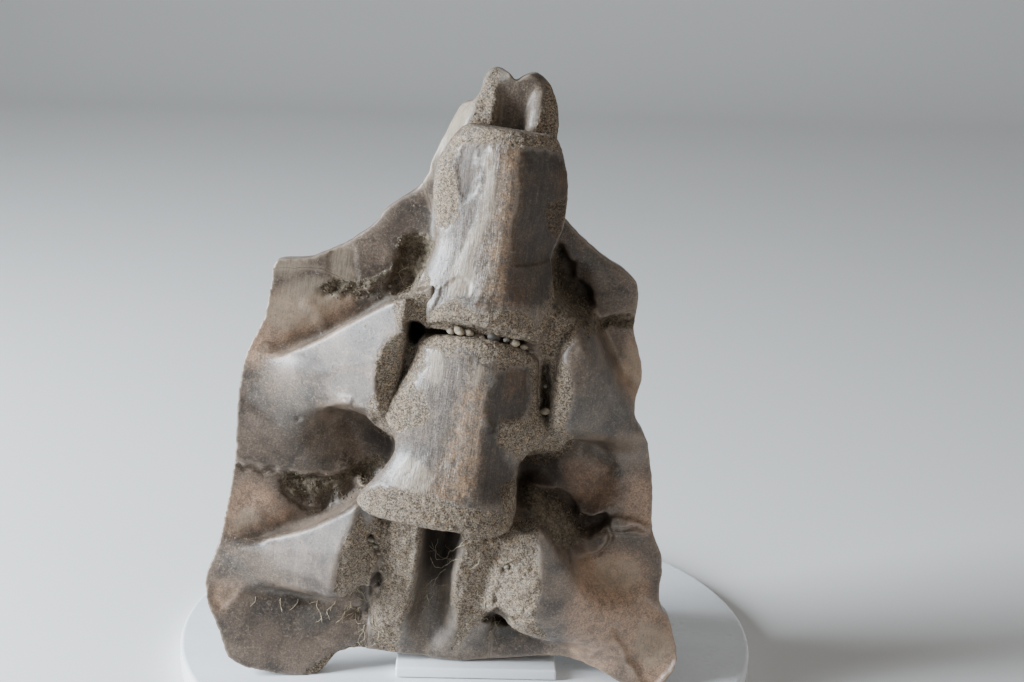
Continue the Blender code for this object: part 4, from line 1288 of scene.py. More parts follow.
def mottle_group():
    """Broad blotches, small specks and thin veins of stained bone."""
    inputs = (("Position", None), ("Blotch size", 14.0), ("Speck size", 1.1), ("Vein width", 0.05))
    wires, inlets, outlet = shader_group("fossil_mottle", inputs, ("Blotches", "Specks", "Veins"))
    place = inlets["Position"]
    blotch = wires.noise(place, wires.number("DIVIDE", 1.0, inlets["Blotch size"]), 4.0, 0.6, 0.6)
    speck = wires.noise(place, wires.number("DIVIDE", 1.0, inlets["Speck size"]), 2.0, 0.6)
    warp = wires.add("ShaderNodeTexNoise", {"Vector": place, "Scale": 0.25, "Detail": 3.0})
    warped = wires.vector("MULTIPLY_ADD", warp.outputs["Color"], (7.0, 7.0, 7.0), place)
    cells = wires.add(
        "ShaderNodeTexVoronoi", {"Vector": warped, "Scale": 0.16}, feature="DISTANCE_TO_EDGE")
    vein = wires.between(cells.outputs["Distance"], 0.0, inlets["Vein width"], 1.0, 0.0)
    patchy = wires.between(wires.noise(place, 0.07, 2.0), 0.45, 0.62)
    return wired_out(wires, outlet, {
        "Blotches": wires.between(blotch, 0.35, 0.65),
        "Specks": wires.between(speck, 0.52, 0.72),
        "Veins": wires.number("MULTIPLY", vein, patchy),
    })


def pore_group():
    """Open bone: a fine, irregular network with dark pores and pale flecks."""
    inputs = (("Position", None), ("Grain size", 0.72), ("Opening", 0.46))
    outputs = ("Height", "Pores", "Crumbs", "Flecks", "Tears")
    wires, inlets, outlet = shader_group("fossil_pores", inputs, outputs)
    scale = wires.number("DIVIDE", 1.0, inlets["Grain size"])
    place = inlets["Position"]
    net = wires.noise(place, scale, 2.0, 0.75, 0.4)
    small = wires.noise(place, wires.number("MULTIPLY", scale, 2.3), 1.0, 0.6)
    height = wires.number("MULTIPLY_ADD", small, 0.45, wires.number("MULTIPLY", net, 0.75))
    rim, floor, top, crown = (
        wires.number("ADD", inlets["Opening"], step) for step in (0.03, 0.12, 0.17, 0.25))
    crumbs = wires.noise(place, wires.number("MULTIPLY", scale, 0.45), 3.0, 0.75)
    return wired_out(wires, outlet, {
        "Height": height,
        "Pores": wires.between(height, rim, floor, 1.0, 0.0),
        "Crumbs": wires.between(crumbs, 0.36, 0.66),
        "Flecks": wires.between(height, top, crown),
        "Tears": wires.noise(place, wires.number("MULTIPLY", scale, 0.5), 4.0, 0.7),
    })


def fibre_group():
    """Fine grain of dense bone, drawn out along the fibres."""
    inputs = (("Position", None), ("Fibre width", 0.55), ("Fibre length", 9.0))
    wires, inlets, outlet = shader_group("fossil_fibres", inputs, ("Streaks", "Grain", "Bands"))
    across = wires.number("DIVIDE", 1.0, inlets["Fibre width"])
    along = wires.number("DIVIDE", 1.0, inlets["Fibre length"])
    squeeze = wires.add("ShaderNodeCombineXYZ", {"X": across, "Y": along, "Z": across}).outputs[0]
    drawn = wires.vector("MULTIPLY", inlets["Position"], squeeze)
    return wired_out(wires, outlet, {
        "Streaks": wires.noise(drawn, 1.0, 3.0, 0.6, 0.3),
        "Grain": wires.noise(inlets["Position"], 1.5, 3.0, 0.75),
        "Bands": wires.noise(wires.scaled(drawn, 0.36), 1.0, 4.0, 0.7, 0.4),
    })


def new_material(name, roughness, specular, coat=0.0, coat_roughness=0.3):
    """Material with one Principled BSDF, as (material, wiring, shader)."""
    made = bpy.data.materials.new(name)
    made.use_nodes = True
    made.node_tree.nodes.clear()
    wires = Wiring(made.node_tree)
    shader = wires.add("ShaderNodeBsdfPrincipled", {
        "Roughness": roughness, "Specular IOR Level": specular, "Coat Weight": coat,
        "Coat Roughness": coat_roughness})
    output = wires.add("ShaderNodeOutputMaterial")
    made.node_tree.links.new(shader.outputs[0], output.inputs["Surface"])
    return made, wires, shader


def slab_place(wires):
    """Object coordinates turned to the slab's axes, in millimetres."""
    place = wires.add("ShaderNodeTexCoord").outputs["Object"]
    turned = Matrix(AXES.tolist()).to_euler("XYZ")
    inputs = {"Vector": place, "Scale": (1 / MM,) * 3, "Rotation": turned}
    return wires.add("ShaderNodeMapping", inputs).outputs[0]


def relief(wires, shader, height, strength, depth):
    """Bumps of a material, with their depth in millimetres."""
    inputs = {"Strength": strength, "Distance": depth * MM, "Height": height}
    bump = wires.add("ShaderNodeBump", inputs)
    wires.tree.links.new(bump.outputs["Normal"], shader.inputs["Normal"])


def colour(values, factor=1.0):
    """RGBA of a colour, made lighter or darker."""
    return (*(value * factor for value in values[:3]), 1.0)


STAIN_GREY = (0.058, 0.060, 0.056)  # cool stain of the dense bone
OPEN_GREY = (0.135, 0.118, 0.098)  # spongy bone without stain
PEBBLE_TONE = (0.30, 0.245, 0.17)
ROOT_TONE = (0.36, 0.30, 0.20)
SOOT = (0.07, 0.068, 0.065)  # darkest pebble
# Tones of the dense bone's stains and of the cool painted sheen on the centra's lit faces, and how
# strong each of its features is
LOOKS = {
    "bone_plate": {
        "blotch": 17.0, "light": (0.146, 0.107, 0.080), "pale": (0.27, 0.21, 0.16),
        "warm": (0.37, 0.235, 0.155), "cool": (0.14, 0.14, 0.145), "streaks": 0.08, "veins": 0.42,
        "wear": 0.4, "roughness": 0.36, "coat": 0.1, "fibre_relief": 0.05, "rim": 0.35,
        "grain": 0.34, "steady": 0.4, "rust": 0.25, "bands": 0.06,
    },
    "bone_arch": {
        "blotch": 10.0, "light": (0.125, 0.094, 0.071), "pale": (0.25, 0.20, 0.15),
        "warm": (0.25, 0.155, 0.095), "cool": (0.14, 0.14, 0.14), "streaks": 0.2, "veins": 0.15,
        "wear": 0.45, "roughness": 0.45, "coat": 0.06, "fibre_relief": 0.1, "rim": 0.3,
        "grain": 0.45, "steady": 0.3, "rust": 0.3, "bands": 0.12,
    },
    "bone_backbone": {
        "blotch": 9.0, "light": (0.120, 0.088, 0.065), "pale": (0.25, 0.20, 0.155),
        "warm": (0.19, 0.115, 0.064), "cool": (0.118, 0.106, 0.098), "streaks": 0.12, "veins": 0.2,
        "wear": 0.3, "roughness": 0.33, "coat": 0.25, "fibre_relief": 0.28, "rim": 0.5,
        "grain": 0.5, "steady": 0.12, "rust": 0.75, "bands": 0.22,
    },
}


def bone_material(slot, settings):
    """Stained fossil bone: dense and satin, open and dusty, or under sediment, with painted shade,
    sheen and highlights, as its masks say.
    """
    looks = LOOKS[slot]
    dark = getattr(settings, slot.removeprefix("bone_"))
    made, wires, shader = new_material("fossil_" + slot, 0.45, 0.5, coat=0.12, coat_roughness=0.32)
    links = wires.tree.links
    place = slab_place(wires)
    mottle = wires.shared("fossil_mottle", mottle_group, place)
    mottle.inputs["Blotch size"].default_value = looks["blotch"]
    pores = wires.shared("fossil_pores", pore_group, place)
    fibres = wires.shared("fossil_fibres", fibre_group, place)
    spongy_mask, sediment_mask = wires.mask("spongy"), wires.mask("sediment")
    warm, cool, pale, deep = (wires.mask(name) for name in ("warm", "cool", "pale", "deep"))
    edge, hollow = wires.mask("edge"), wires.mask("hollow")
    speck, blotch, vein = (mottle.outputs[name] for name in ("Specks", "Blotches", "Veins"))
    streak = wires.between(fibres.outputs["Streaks"], 0.35, 0.68)

    dense = wires.blend(blotch, colour(dark), colour(looks["light"]))
    rust = wires.between(wires.noise(place, 0.4, 4.0, 0.75, 0.4), 0.54, 0.66)
    dense = wires.tinted(dense, rust, looks["rust"], looks["warm"], 0.7)
    tint = wires.between(wires.noise(place, 0.034, 3.0, 0.6, 0.5), 0.5, 0.64)
    dense = wires.tinted(dense, tint, 0.45, STAIN_GREY)
    dense = wires.tinted(dense, streak, looks["streaks"], looks["pale"])
    # painted sheen: a cool grey laid over the lit left faces of the centra
    dense = wires.tinted(dense, cool, 0.3, looks["cool"])
    patchy = wires.between(wires.noise(place, 0.24, 5.0, 0.75, 0.6), 0.42, 0.58)
    steady = looks["steady"]
    stained = wires.number("MULTIPLY_ADD", patchy, 0.85 - steady, steady)
    dense = wires.blend(wires.number("MULTIPLY", warm, stained), dense, colour(looks["warm"]))
    dense = wires.tinted(dense, vein, looks["veins"], looks["pale"])
    dense = wires.tinted(dense, speck, 0.26, settings.dust_and_highlight)
    for name, low, high in (("Grain", 0.32, 0.68), ("Bands", 0.34, 0.66)):
        depth = looks[name.lower()]
        shading = wires.between(fibres.outputs[name], low, high, 1 - depth, 1 + depth)
        dense = wires.blend(1.0, dense, shading, "MULTIPLY")
    dense = wires.tinted(dense, edge, looks["wear"], looks["pale"])
    dense = wires.tinted(dense, hollow, 0.3, settings.dust_and_highlight, 0.45)
    # pale stains on the plates, with painted highlights on the centra and a painted lift of light
    # beside the upper left rib
    pale_and_painted_light = wires.number("MULTIPLY", pale, wires.between(streak, -0.9, 1.0))
    dense = wires.tinted(dense, pale_and_painted_light, 0.6, settings.dust_and_highlight)

    crumbs, holes, flecks = (pores.outputs[name] for name in ("Crumbs", "Pores", "Flecks"))
    patch = wires.between(wires.noise(place, 0.28, 3.0, 0.65), 0.38, 0.62)
    open_bone, fill = (
        wires.blend(crumbs, colour(tone, low), colour(tone, high))
        for tone, low, high in ((settings.open_bone, 0.4, 1.35), (settings.sediment, 0.45, 1.4)))
    open_bone = wires.tinted(open_bone, patch, 0.6, OPEN_GREY)
    open_bone = wires.tinted(open_bone, holes, 0.9, settings.open_bone, 0.12)
    open_bone = wires.tinted(open_bone, flecks, 0.75, settings.dust_and_highlight)
    fill = wires.tinted(fill, holes, 0.5, settings.sediment, 0.25)
    ragged = wires.number("SUBTRACT", pores.outputs["Tears"], 0.5)
    spongy = wires.between(wires.number("MULTIPLY_ADD", ragged, 2.4, spongy_mask), 0.25, 0.7)
    filled = wires.between(wires.number("MULTIPLY_ADD", ragged, 2.0, sediment_mask), 0.2, 0.8)
    rim = wires.between(spongy, 0.3, 0.7, 1.0, 0.0)
    rim = wires.number("MULTIPLY", wires.between(spongy, 0.02, 0.25), rim)
    dense = wires.tinted(dense, rim, looks["rim"], looks["pale"])
    surface = wires.blend(spongy, dense, open_bone)
    surface = wires.blend(filled, surface, fill)
    # painted shade: the bone is darkened towards the shade tone in hollows, cracks and on faces
    # turned from the light
    surface = wires.blend(deep, surface, colour(settings.painted_shade_tone), "MULTIPLY")
    links.new(surface, shader.inputs["Base Color"])

    usual = looks["roughness"]
    rough = wires.between(fibres.outputs["Grain"], 0.3, 0.7, usual - 0.06, usual + 0.1)
    rough = wires.number("MULTIPLY_ADD", hollow, 0.2, rough)
    rough = wires.number("MULTIPLY_ADD", deep, 0.3, rough)
    covered = wires.number("MAXIMUM", spongy, filled)
    rough = wires.number("MAXIMUM", rough, wires.number("MULTIPLY", covered, 0.92), clamp=True)
    links.new(rough, shader.inputs["Roughness"])
    bare = wires.number("SUBTRACT", 1.0, covered, clamp=True)
    bare = wires.number("MULTIPLY", bare, wires.between(deep, 0.0, 0.7, 1.0, 0.0))
    links.new(wires.number("MULTIPLY", bare, looks["coat"]), shader.inputs["Coat Weight"])

    fine = wires.number("MULTIPLY", fibres.outputs["Grain"], 0.16)
    fine = wires.number("MULTIPLY_ADD", fibres.outputs["Streaks"], looks["fibre_relief"], fine)
    coarse = wires.number("MULTIPLY", pores.outputs["Height"], covered)
    height = wires.number("MULTIPLY_ADD", coarse, 0.5, fine)
    relief(wires, shader, height, 1.0, 0.7)
    return made


def grit_material(name, settings, tone, roughness=0.85, toned=False):
    """Grain, pebble or root: one tone with blotches and relief, darker where its own tone says."""
    made, wires, shader = new_material(name, roughness, 0.35)
    place = slab_place(wires)
    blotch = wires.between(wires.noise(place, 0.35, 3.0, 0.6), 0.38, 0.62)
    grain = wires.noise(place, 3.5, 3.0, 0.7)
    base = wires.blend(blotch, colour(tone, 0.6), colour(tone, 1.25))
    base = wires.blend(wires.between(grain, 0.5, 0.75, 0.0, 0.6), base, colour(settings.dust_and_highlight, 0.5))
    if toned:
        base = wires.blend(wires.mask("tone"), colour(SOOT), base)
    wires.tree.links.new(base, shader.inputs["Base Color"])
    relief(wires, shader, grain, 0.8, 0.15)
    return made


def acrylic_material(settings):
    """Gloss white acrylic with faint smears and fine scratches of use."""
    made, wires, shader = new_material("stand_acrylic", settings.roughness, 0.5, 0.4, 0.08)
    place = wires.add("ShaderNodeTexCoord").outputs["Object"]
    scaled = wires.add("ShaderNodeMapping", {"Vector": place, "Scale": (1 / MM,) * 3}).outputs[0]
    smear = wires.between(wires.noise(scaled, 0.018, 4.0, 0.6, 1.2), 0.4, 0.68)
    drawn = wires.add("ShaderNodeMapping", {"Vector": scaled, "Scale": (0.05, 1.6, 0.4)})
    scratch = wires.noise(drawn.outputs[0], 1.0, 4.0)
    base = wires.blend(smear, colour(settings.colour), colour(settings.colour, 0.93))
    wires.tree.links.new(base, shader.inputs["Base Color"])
    rough = wires.number("MULTIPLY_ADD", smear, 0.12, settings.roughness)
    rough = wires.number("MULTIPLY_ADD", wires.between(scratch, 0.55, 0.8), 0.08, rough)
    wires.tree.links.new(rough, shader.inputs["Roughness"])
    relief(wires, shader, scratch, 0.15, 0.05)
    return made


# ---------------------------------------------------------------- loose pieces, by geometry nodes

# Pebbles wedged in the joint between the centra and in the cracks: (a, b, size, flatness, tone)
PEBBLES = (
    (-9.8, 146.3, 3.4, 0.7, 0.75), (-6.6, 146.9, 4.6, 0.62, 1.0), (-2.8, 146.6, 4.4, 0.6, 0.95),
    (0.6, 145.9, 3.2, 0.7, 0.45), (2.6, 145.4, 2.8, 0.7, 0.7), (7.2, 146.2, 5.6, 0.5, 0.12),
    (12.2, 145.9, 2.6, 0.8, 0.3), (15.6, 145.2, 4.4, 0.62, 0.85), (19.4, 144.2, 3.4, 0.6, 0.6),
    (22.6, 142.8, 2.4, 0.7, 0.3), (31.6, 119.8, 4.2, 0.6, 0.8), (30.2, 130, 2.0, 0.8, 0.3),
    (-29.4, 57.6, 3.0, 0.6, 0.6), (-27.6, 55.4, 3.4, 0.55, 0.4), (-26, 52.6, 2.8, 0.6, 0.5),
    (26.2, 54.2, 2.4, 0.6, 0.4), (-30, 119, 2.6, 0.7, 0.5), (-36, 160.5, 2.4, 0.7, 0.4),
)
# Where fine roots cling: (a, b, direction in degrees, length, spread)
ROOT_STARTS = (
    (-3, 62, -80, 16, 1.0), (0.5, 60, -95, 18, 1.0), (3, 58, -110, 15, 1.0), (-5, 54, -60, 12, 1.0),
    (2, 50, -140, 12, 1.2), (-1, 46, -90, 14, 1.2), (4, 44, -120, 10, 1.0), (-4, 38, -70, 10, 1.0),
    (-26, 34, -120, 9, 1.2), (-29, 30, -150, 12, 1.2), (-34, 31, -100, 10, 1.2),
    (-40, 30.5, -80, 8, 1.0), (-47, 29.5, -110, 8, 1.0), (-55, 29, -95, 7, 1.0),
    (-25, 40, -100, 10, 1.2), (-24, 26, -80, 10, 1.2), (-27, 22, -120, 9, 1.2),
    (-22, 44, -75, 9, 1.0), (24, 33, -60, 9, 1.2), (27, 32, -120, 10, 1.4), (22, 31, 160, 9, 1.4),
    (29, 33, 20, 8, 1.2), (25, 30, -90, 7, 1.2), (15, 56, -100, 9, 1.0), (-62, 28, -80, 5, 1.0),
    (-72, 27.5, -100, 5, 1.0), (20, 36, 100, 9, 1.0), (-30, 36, 170, 8, 1.2),
    (-33, 166, -70, 7, 1.0), (-30, 170, -110, 7, 1.0),
)


def geometry_tree(name, inputs):
    """Geometry node tree with the usual geometry sockets and the given named inputs."""
    tree = bpy.data.node_groups.new(name, "GeometryNodeTree")
    tree.interface.new_socket("Geometry", in_out="INPUT", socket_type="NodeSocketGeometry")
    tree.interface.new_socket("Geometry", in_out="OUTPUT", socket_type="NodeSocketGeometry")
    for label, kind in inputs:
        tree.interface.new_socket(label, in_out="INPUT", socket_type="NodeSocket" + kind)
    wires = Wiring(tree)
    outlet = wires.add("NodeGroupOutput").inputs["Geometry"]
    return wires, wires.add("NodeGroupInput").outputs, outlet


def named(wires, name):
    """Number stored on a mesh under a name."""
    node = wires.add("GeometryNodeInputNamedAttribute", {"Name": name}, data_type="FLOAT")
    return node.outputs["Attribute"]


def scattered(wires, points, shape, turn, scale):
    """Real copies of a shape on points."""
    placed = wires.add("GeometryNodeInstanceOnPoints", {
        "Points": points, "Instance": shape.outputs["Mesh"], "Rotation": turn.outputs[0],
        "Scale": scale})
    return wires.add("GeometryNodeRealizeInstances", {"Geometry": placed.outputs[0]}).outputs[0]


def pushed(wires, geometry, offset):
    """Geometry whose points are moved."""
    inputs = {"Geometry": geometry, "Offset": offset}
    return wires.add("GeometryNodeSetPosition", inputs).outputs[0]


def shaken(wires, geometry, frequency, detail, amount):
    """Geometry whose points are moved by noise."""
    noise = wires.add("ShaderNodeTexNoise", {"Scale": frequency, "Detail": detail})
    shift = wires.vector("SUBTRACT", noise.outputs["Color"], (0.5, 0.5, 0.5))
    return pushed(wires, geometry, wires.scaled(shift, amount))


def surfaced(wires, geometry, inlets, outlet):
    """Ends a tree with its material."""
    inputs = {"Geometry": geometry, "Material": inlets["Material"]}
    done = wires.add("GeometryNodeSetMaterial", inputs).outputs[0]
    wires.tree.links.new(done, outlet)
    return wires.tree


def grown(obj, tree, values):
    """Runs a geometry node tree on an object, with values for its named inputs, and bakes it."""
    modifier = obj.modifiers.new(tree.name, "NODES")
    modifier.node_group = tree
    for item in tree.interface.items_tree:
        if item.in_out == "INPUT" and item.name in values:
            modifier[item.identifier] = values[item.name]
    bake(obj)
    obj.data.materials.clear()
    obj.data.materials.append(values["Material"])
    return obj


def pebble_tree():
    """Rounded, lumpy pebbles on points, each turned and sized on its own."""
    wires, inlets, outlet = geometry_tree("crack_pebbles", (
        ("Seed", "Int"), ("Lumpiness", "Float"), ("Material", "Material")))
    flat = named(wires, "flatness")
    thick = wires.number("MULTIPLY_ADD", flat, 0.5, 0.4)
    shape = wires.add("ShaderNodeCombineXYZ", {"X": 1.0, "Y": flat, "Z": thick}).outputs[0]
    scale = wires.scaled(shape, named(wires, "size"))
    turn = wires.add("FunctionNodeRandomValue", {"Seed": inlets["Seed"]}, data_type="FLOAT_VECTOR")
    turn.inputs[0].default_value = (-0.5, -0.5, -0.5)
    turn.inputs[1].default_value = (0.5, 0.5, 0.5)
    ball = wires.add("GeometryNodeMeshIcoSphere", {"Radius": 0.5, "Subdivisions": 4})
    real = scattered(wires, inlets["Geometry"], ball, turn, scale)
    noise = wires.add("ShaderNodeTexNoise", {"Scale": 420.0, "Detail": 2.0}).outputs["Fac"]
    push = wires.number("MULTIPLY", wires.number("SUBTRACT", noise, 0.5), inlets["Lumpiness"])
    normal = wires.add("GeometryNodeInputNormal").outputs[0]
    moved = pushed(wires, real, wires.scaled(normal, push))
    smooth = wires.add("GeometryNodeSetShadeSmooth", {"Geometry": moved}).outputs[0]
    return surfaced(wires, smooth, inlets, outlet)


def grain_tree():
    """Small angular grains scattered over the faces, thick where the mask is high."""
    wires, inlets, outlet = geometry_tree("sediment_grains", (
        ("Density", "Float"), ("Smallest", "Float"), ("Largest", "Float"), ("Seed", "Int"),
        ("Material", "Material")))
    density = wires.number("MULTIPLY", named(wires, "cover"), inlets["Density"])
    spread = wires.add("GeometryNodeDistributePointsOnFaces", {
        "Mesh": inlets["Geometry"], "Density": density, "Seed": inlets["Seed"]},
        distribute_method="RANDOM")
    share = wires.add("FunctionNodeRandomValue", {"Seed": inlets["Seed"]}, data_type="FLOAT")
    small = wires.number("POWER", share.outputs[1], 2.5)
    reach = wires.number("SUBTRACT", inlets["Largest"], inlets["Smallest"])
    size = wires.number("MULTIPLY_ADD", small, reach, inlets["Smallest"])
    squash = wires.add("ShaderNodeCombineXYZ", {"X": 1.0, "Y": 0.8, "Z": 0.65}).outputs[0]
    scale = wires.scaled(squash, size)
    seed = wires.number("ADD", inlets["Seed"], 3.0)
    turn = wires.add("FunctionNodeRandomValue", {"Seed": seed}, data_type="FLOAT_VECTOR")
    turn.inputs[1].default_value = (6.28, 6.28, 6.28)
    chip = wires.add("GeometryNodeMeshIcoSphere", {"Radius": 0.5, "Subdivisions": 1})
    real = scattered(wires, spread.outputs["Points"], chip, turn, scale)
    chipped = wires.number("MULTIPLY", inlets["Smallest"], 0.7)
    return surfaced(wires, shaken(wires, real, 1900.0, 1.0, chipped), inlets, outlet)


def root_tree():
    """Fine roots swept along edges, thinner towards their tips."""
    wires, inlets, outlet = geometry_tree("fine_roots", (
        ("Thickness", "Float"), ("Step", "Float"), ("Wander", "Float"), ("Material", "Material")))
    curve = wires.add("GeometryNodeMeshToCurve", {"Mesh": inlets["Geometry"]}).outputs[0]
    inputs = {"Curve": curve, "Length": inlets["Step"]}
    even = wires.add("GeometryNodeResampleCurve", inputs, mode="LENGTH").outputs[0]
    bent = shaken(wires, even, 600.0, 2.0, inlets["Wander"])
    along = wires.add("GeometryNodeSplineParameter").outputs["Factor"]
    thin = wires.number("MULTIPLY_ADD", along, -0.6, 1.0)
    thin = wires.number("MULTIPLY", thin, inlets["Thickness"])
    ring = wires.add("GeometryNodeCurvePrimitiveCircle", {"Resolution": 5, "Radius": 0.5})
    tube = wires.add("GeometryNodeCurveToMesh", {
        "Curve": bent, "Profile Curve": ring.outputs["Curve"], "Scale": thin, "Fill Caps": True})
    smooth = wires.add("GeometryNodeSetShadeSmooth", {"Geometry": tube.outputs[0]}).outputs[0]
    real = wires.add("GeometryNodeRealizeInstances", {"Geometry": smooth}).outputs[0]
    return surfaced(wires, real, inlets, outlet)


def finished_bones():
    """Search tree over the finished bones."""
    return search_tree(bpy.data.objects["bone_" + name].data for name in (*SEAMS, *CENTRA))


def seen_at(tree, a, b):
    """Point of the bones that the viewer sees at (a, b) of the sight plane, with its normal."""
    eye = Vector(EYE_SLAB)
    hit, normal, _, _ = tree.ray_cast(eye, Vector((a, b, SIGHT_LEVEL)) - eye)
    return hit, normal


def keep_piece(piece, slot, *nodes):
    """Puts a finished piece under the shell's root and hides the solids it replaces."""
    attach(piece, "root")
    if nodes:
        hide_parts(*nodes)


def finish_bone(piece, material):
    """Smooth shading, with sharp broken edges, and the bone's finish."""
    piece.data.materials.clear()
    piece.data.materials.append(material)
    piece.data.shade_smooth()
    piece.data.set_sharp_from_angle(angle=math.radians(55))


def root_paths(tree, seed):
    """Wandering paths over the bones for the fine roots, each a list of slab points."""
    random = np.random.default_rng(seed)
    paths = []
    todo = [(*start, 0) for start in ROOT_STARTS]
    while todo:
        a, b, direction, length, spread, depth = todo.pop()
        angle, path, travelled = math.radians(direction), [], 0.0
        lift = random.uniform(0.1, 0.9)
        while travelled < length:
            hit, normal = seen_at(tree, a, b)
            if hit is None or (path and (hit - path[-1]).length > 4):
                break
            path.append(hit + normal * (0.12 + lift * abs(math.sin(travelled * 0.9)) * 0.8))
            angle += random.normal(0, 0.28 * spread)
            a, b = a + 0.7 * math.cos(angle), b + 0.7 * math.sin(angle)
            travelled += 0.7
            if depth < 2 and random.random() < 0.09:
                turn = random.choice((-1, 1)) * random.uniform(25, 70)
                todo.append((a, b, math.degrees(angle) + turn, length * 0.5, spread, depth + 1))
        if len(path) > 3:
            paths.append(path)
    return paths


# ---------------------------------------------------------------- settings of the sidebar


class ShellSettings(bpy.types.PropertyGroup):
    """Sizes and colours of the fossil bone."""

    mesh_size: FloatProperty(
        name="Mesh size", description="Spacing of the bones' mesh",
        default=0.56 * MM, min=0.3 * MM, unit="LENGTH")
    softening: FloatProperty(
        name="Softening", description="Radius by which the plates' main shapes are rounded",
        default=1.3 * MM, unit="LENGTH")
    thinnest: FloatProperty(
        name="Least thickness", description="Bone that is left under the deepest hollows",
        default=4.0 * MM, unit="LENGTH")
    pore_depth: FloatProperty(
        name="Pore depth", description="Relief of the open, spongy bone",
        default=0.2 * MM, unit="LENGTH")
    rubble: FloatProperty(
        name="Rubble", description="Relief of the crumbled rock in cracks and hollows",
        default=0.9 * MM, unit="LENGTH")
    seam_gap: FloatProperty(
        name="Seam gap", description="Air between neighbouring bones",
        default=0.1 * MM, unit="LENGTH")
    plate: FloatVectorProperty(
        name="Plates", description="Dark tone of the rib plates",
        subtype="COLOR", default=(0.044, 0.032, 0.025))
    arch: FloatVectorProperty(
        name="Arch", description="Dark tone of the arch over the spinal canal",
        subtype="COLOR", default=(0.052, 0.039, 0.030))
    backbone: FloatVectorProperty(
        name="Backbone", description="Dark tone of the vertebral bodies",
        subtype="COLOR", default=(0.052, 0.037, 0.027))
    open_bone: FloatVectorProperty(
        name="Open bone", description="Broken, spongy bone",
        subtype="COLOR", default=(0.185, 0.132, 0.086))
    sediment: FloatVectorProperty(
        name="Sediment", description="Matrix left in the cracks",
        subtype="COLOR", default=(0.135, 0.107, 0.072))
    # Pale dust, also laid through the pale mask as painted highlights and painted light
    dust_and_highlight: FloatVectorProperty(
        name="Dust", description="Pale dust and specks",
        subtype="COLOR", default=(0.36, 0.29, 0.21))
    # Painted shade: this tone is multiplied into the bone where the painted-shade mask is high
    painted_shade_tone: FloatVectorProperty(
        name="Deep bone", description="Stain that darkens the deepest hollows",
        subtype="COLOR", default=(0.34, 0.30, 0.27))


class DebrisSettings(bpy.types.PropertyGroup):
    """Pebbles, grains and roots in the cracks."""

    pebble_scale: FloatProperty(
        name="Pebble scale", description="Size of the wedged pebbles", default=1.0, min=0.2)
    grain_density: FloatProperty(
        name="Grain density", description="Grains on each square metre of sediment", default=1.1e6)
    grain_size: FloatProperty(
        name="Grain size", description="Largest grain of sediment", default=1.3 * MM, unit="LENGTH")
    root_thickness: FloatProperty(
        name="Root thickness", description="Thickness of the fine roots",
        default=0.32 * MM, unit="LENGTH")
    seed: IntProperty(name="Seed", description="Start of the random layout", default=7)


class StandSettings(bpy.types.PropertyGroup):
    """Round base and prop of the stand."""

    diameter: FloatProperty(
        name="Diameter", description="Width of the disc", default=0.25, unit="LENGTH")
    thickness: FloatProperty(
        name="Thickness", description="Height of the disc",
        default=DISC_THICKNESS * MM, unit="LENGTH")
    rim: FloatProperty(
        name="Rim radius", description="Rounding of the disc's edge",
        default=2.0 * MM, unit="LENGTH")
    roughness: FloatProperty(
        name="Roughness", description="Gloss of the acrylic", default=0.2, min=0.0, max=1.0)
    colour: FloatVectorProperty(
        name="Colour", description="White of the acrylic",
        subtype="COLOR", default=(0.80, 0.82, 0.84))


class StageSettings(bpy.types.PropertyGroup):
    """Floor, light and camera."""

    key_power: FloatProperty(
        name="Key light", description="Cool light from the left", default=76.0, unit="POWER")
    fill_power: FloatProperty(
        name="Fill light", description="Weak light from the right", default=4.0, unit="POWER")
    surround: FloatProperty(name="Surround", description="Strength of the even light", default=0.2)
    floor: FloatVectorProperty(
        name="Floor", description="Colour of the floor",
        subtype="COLOR", default=(0.76, 0.76, 0.75))
    lens: FloatProperty(
        name="Lens", description="Focal length of the camera", default=60.0, unit="CAMERA")


SETTINGS = {
    "fossil_shell": ShellSettings,
    "fossil_debris": DebrisSettings,
    "fossil_stand": StandSettings,
    "fossil_stage": StageSettings,
}


def bone_finish(context, slot):
    """The material of a slot, built once."""
    made = bpy.data.materials.get("fossil_" + slot)
    return made or bone_material(slot, context.scene.fossil_shell)


WORKED = {}


def worked_face(context):
    """The worked inner face, shared by the operators."""
    if "face" not in WORKED:
        face = Face(FACE_STEP)
        work_face(face, context.scene.fossil_shell)
        WORKED["face"] = face
    return WORKED["face"]


# ---------------------------------------------------------------- operators


class FOSSIL_OT_carapace(bpy.types.Operator):
    """Build the nine bones of the carapace, with ribs, hollows and broken edges"""

    bl_idname = "fossil.carapace"
    bl_label = "Carapace bones"

    def execute(self, context):
        settings = context.scene.fossil_shell
        face = worked_face(context)
        body = carapace_body(face, settings)
        for name, outline in SEAMS.items():
            slot = SLOTS[name.split("_")[0]]
            piece = split_bone(name, outline, body, face, settings)
            if len(piece.data.polygons) < 100:
                raise RuntimeError(f"the seams left nothing of {name}")
            finish_bone(piece, bone_finish(context, slot))
            keep_piece(piece, slot, name)
        drop(body)
        return {"FINISHED"}


class FOSSIL_OT_centra(bpy.types.Operator):
    """Build the two vertebral bodies"""

    bl_idname = "fossil.centra"
    bl_label = "Vertebral bodies"

    def execute(self, context):
        for name in CENTRA:
            piece = centrum_piece(name, context.scene.fossil_shell)
            finish_bone(piece, bone_finish(context, SLOTS["centrum"]))
            keep_piece(piece, SLOTS["centrum"], name)
        return {"FINISHED"}


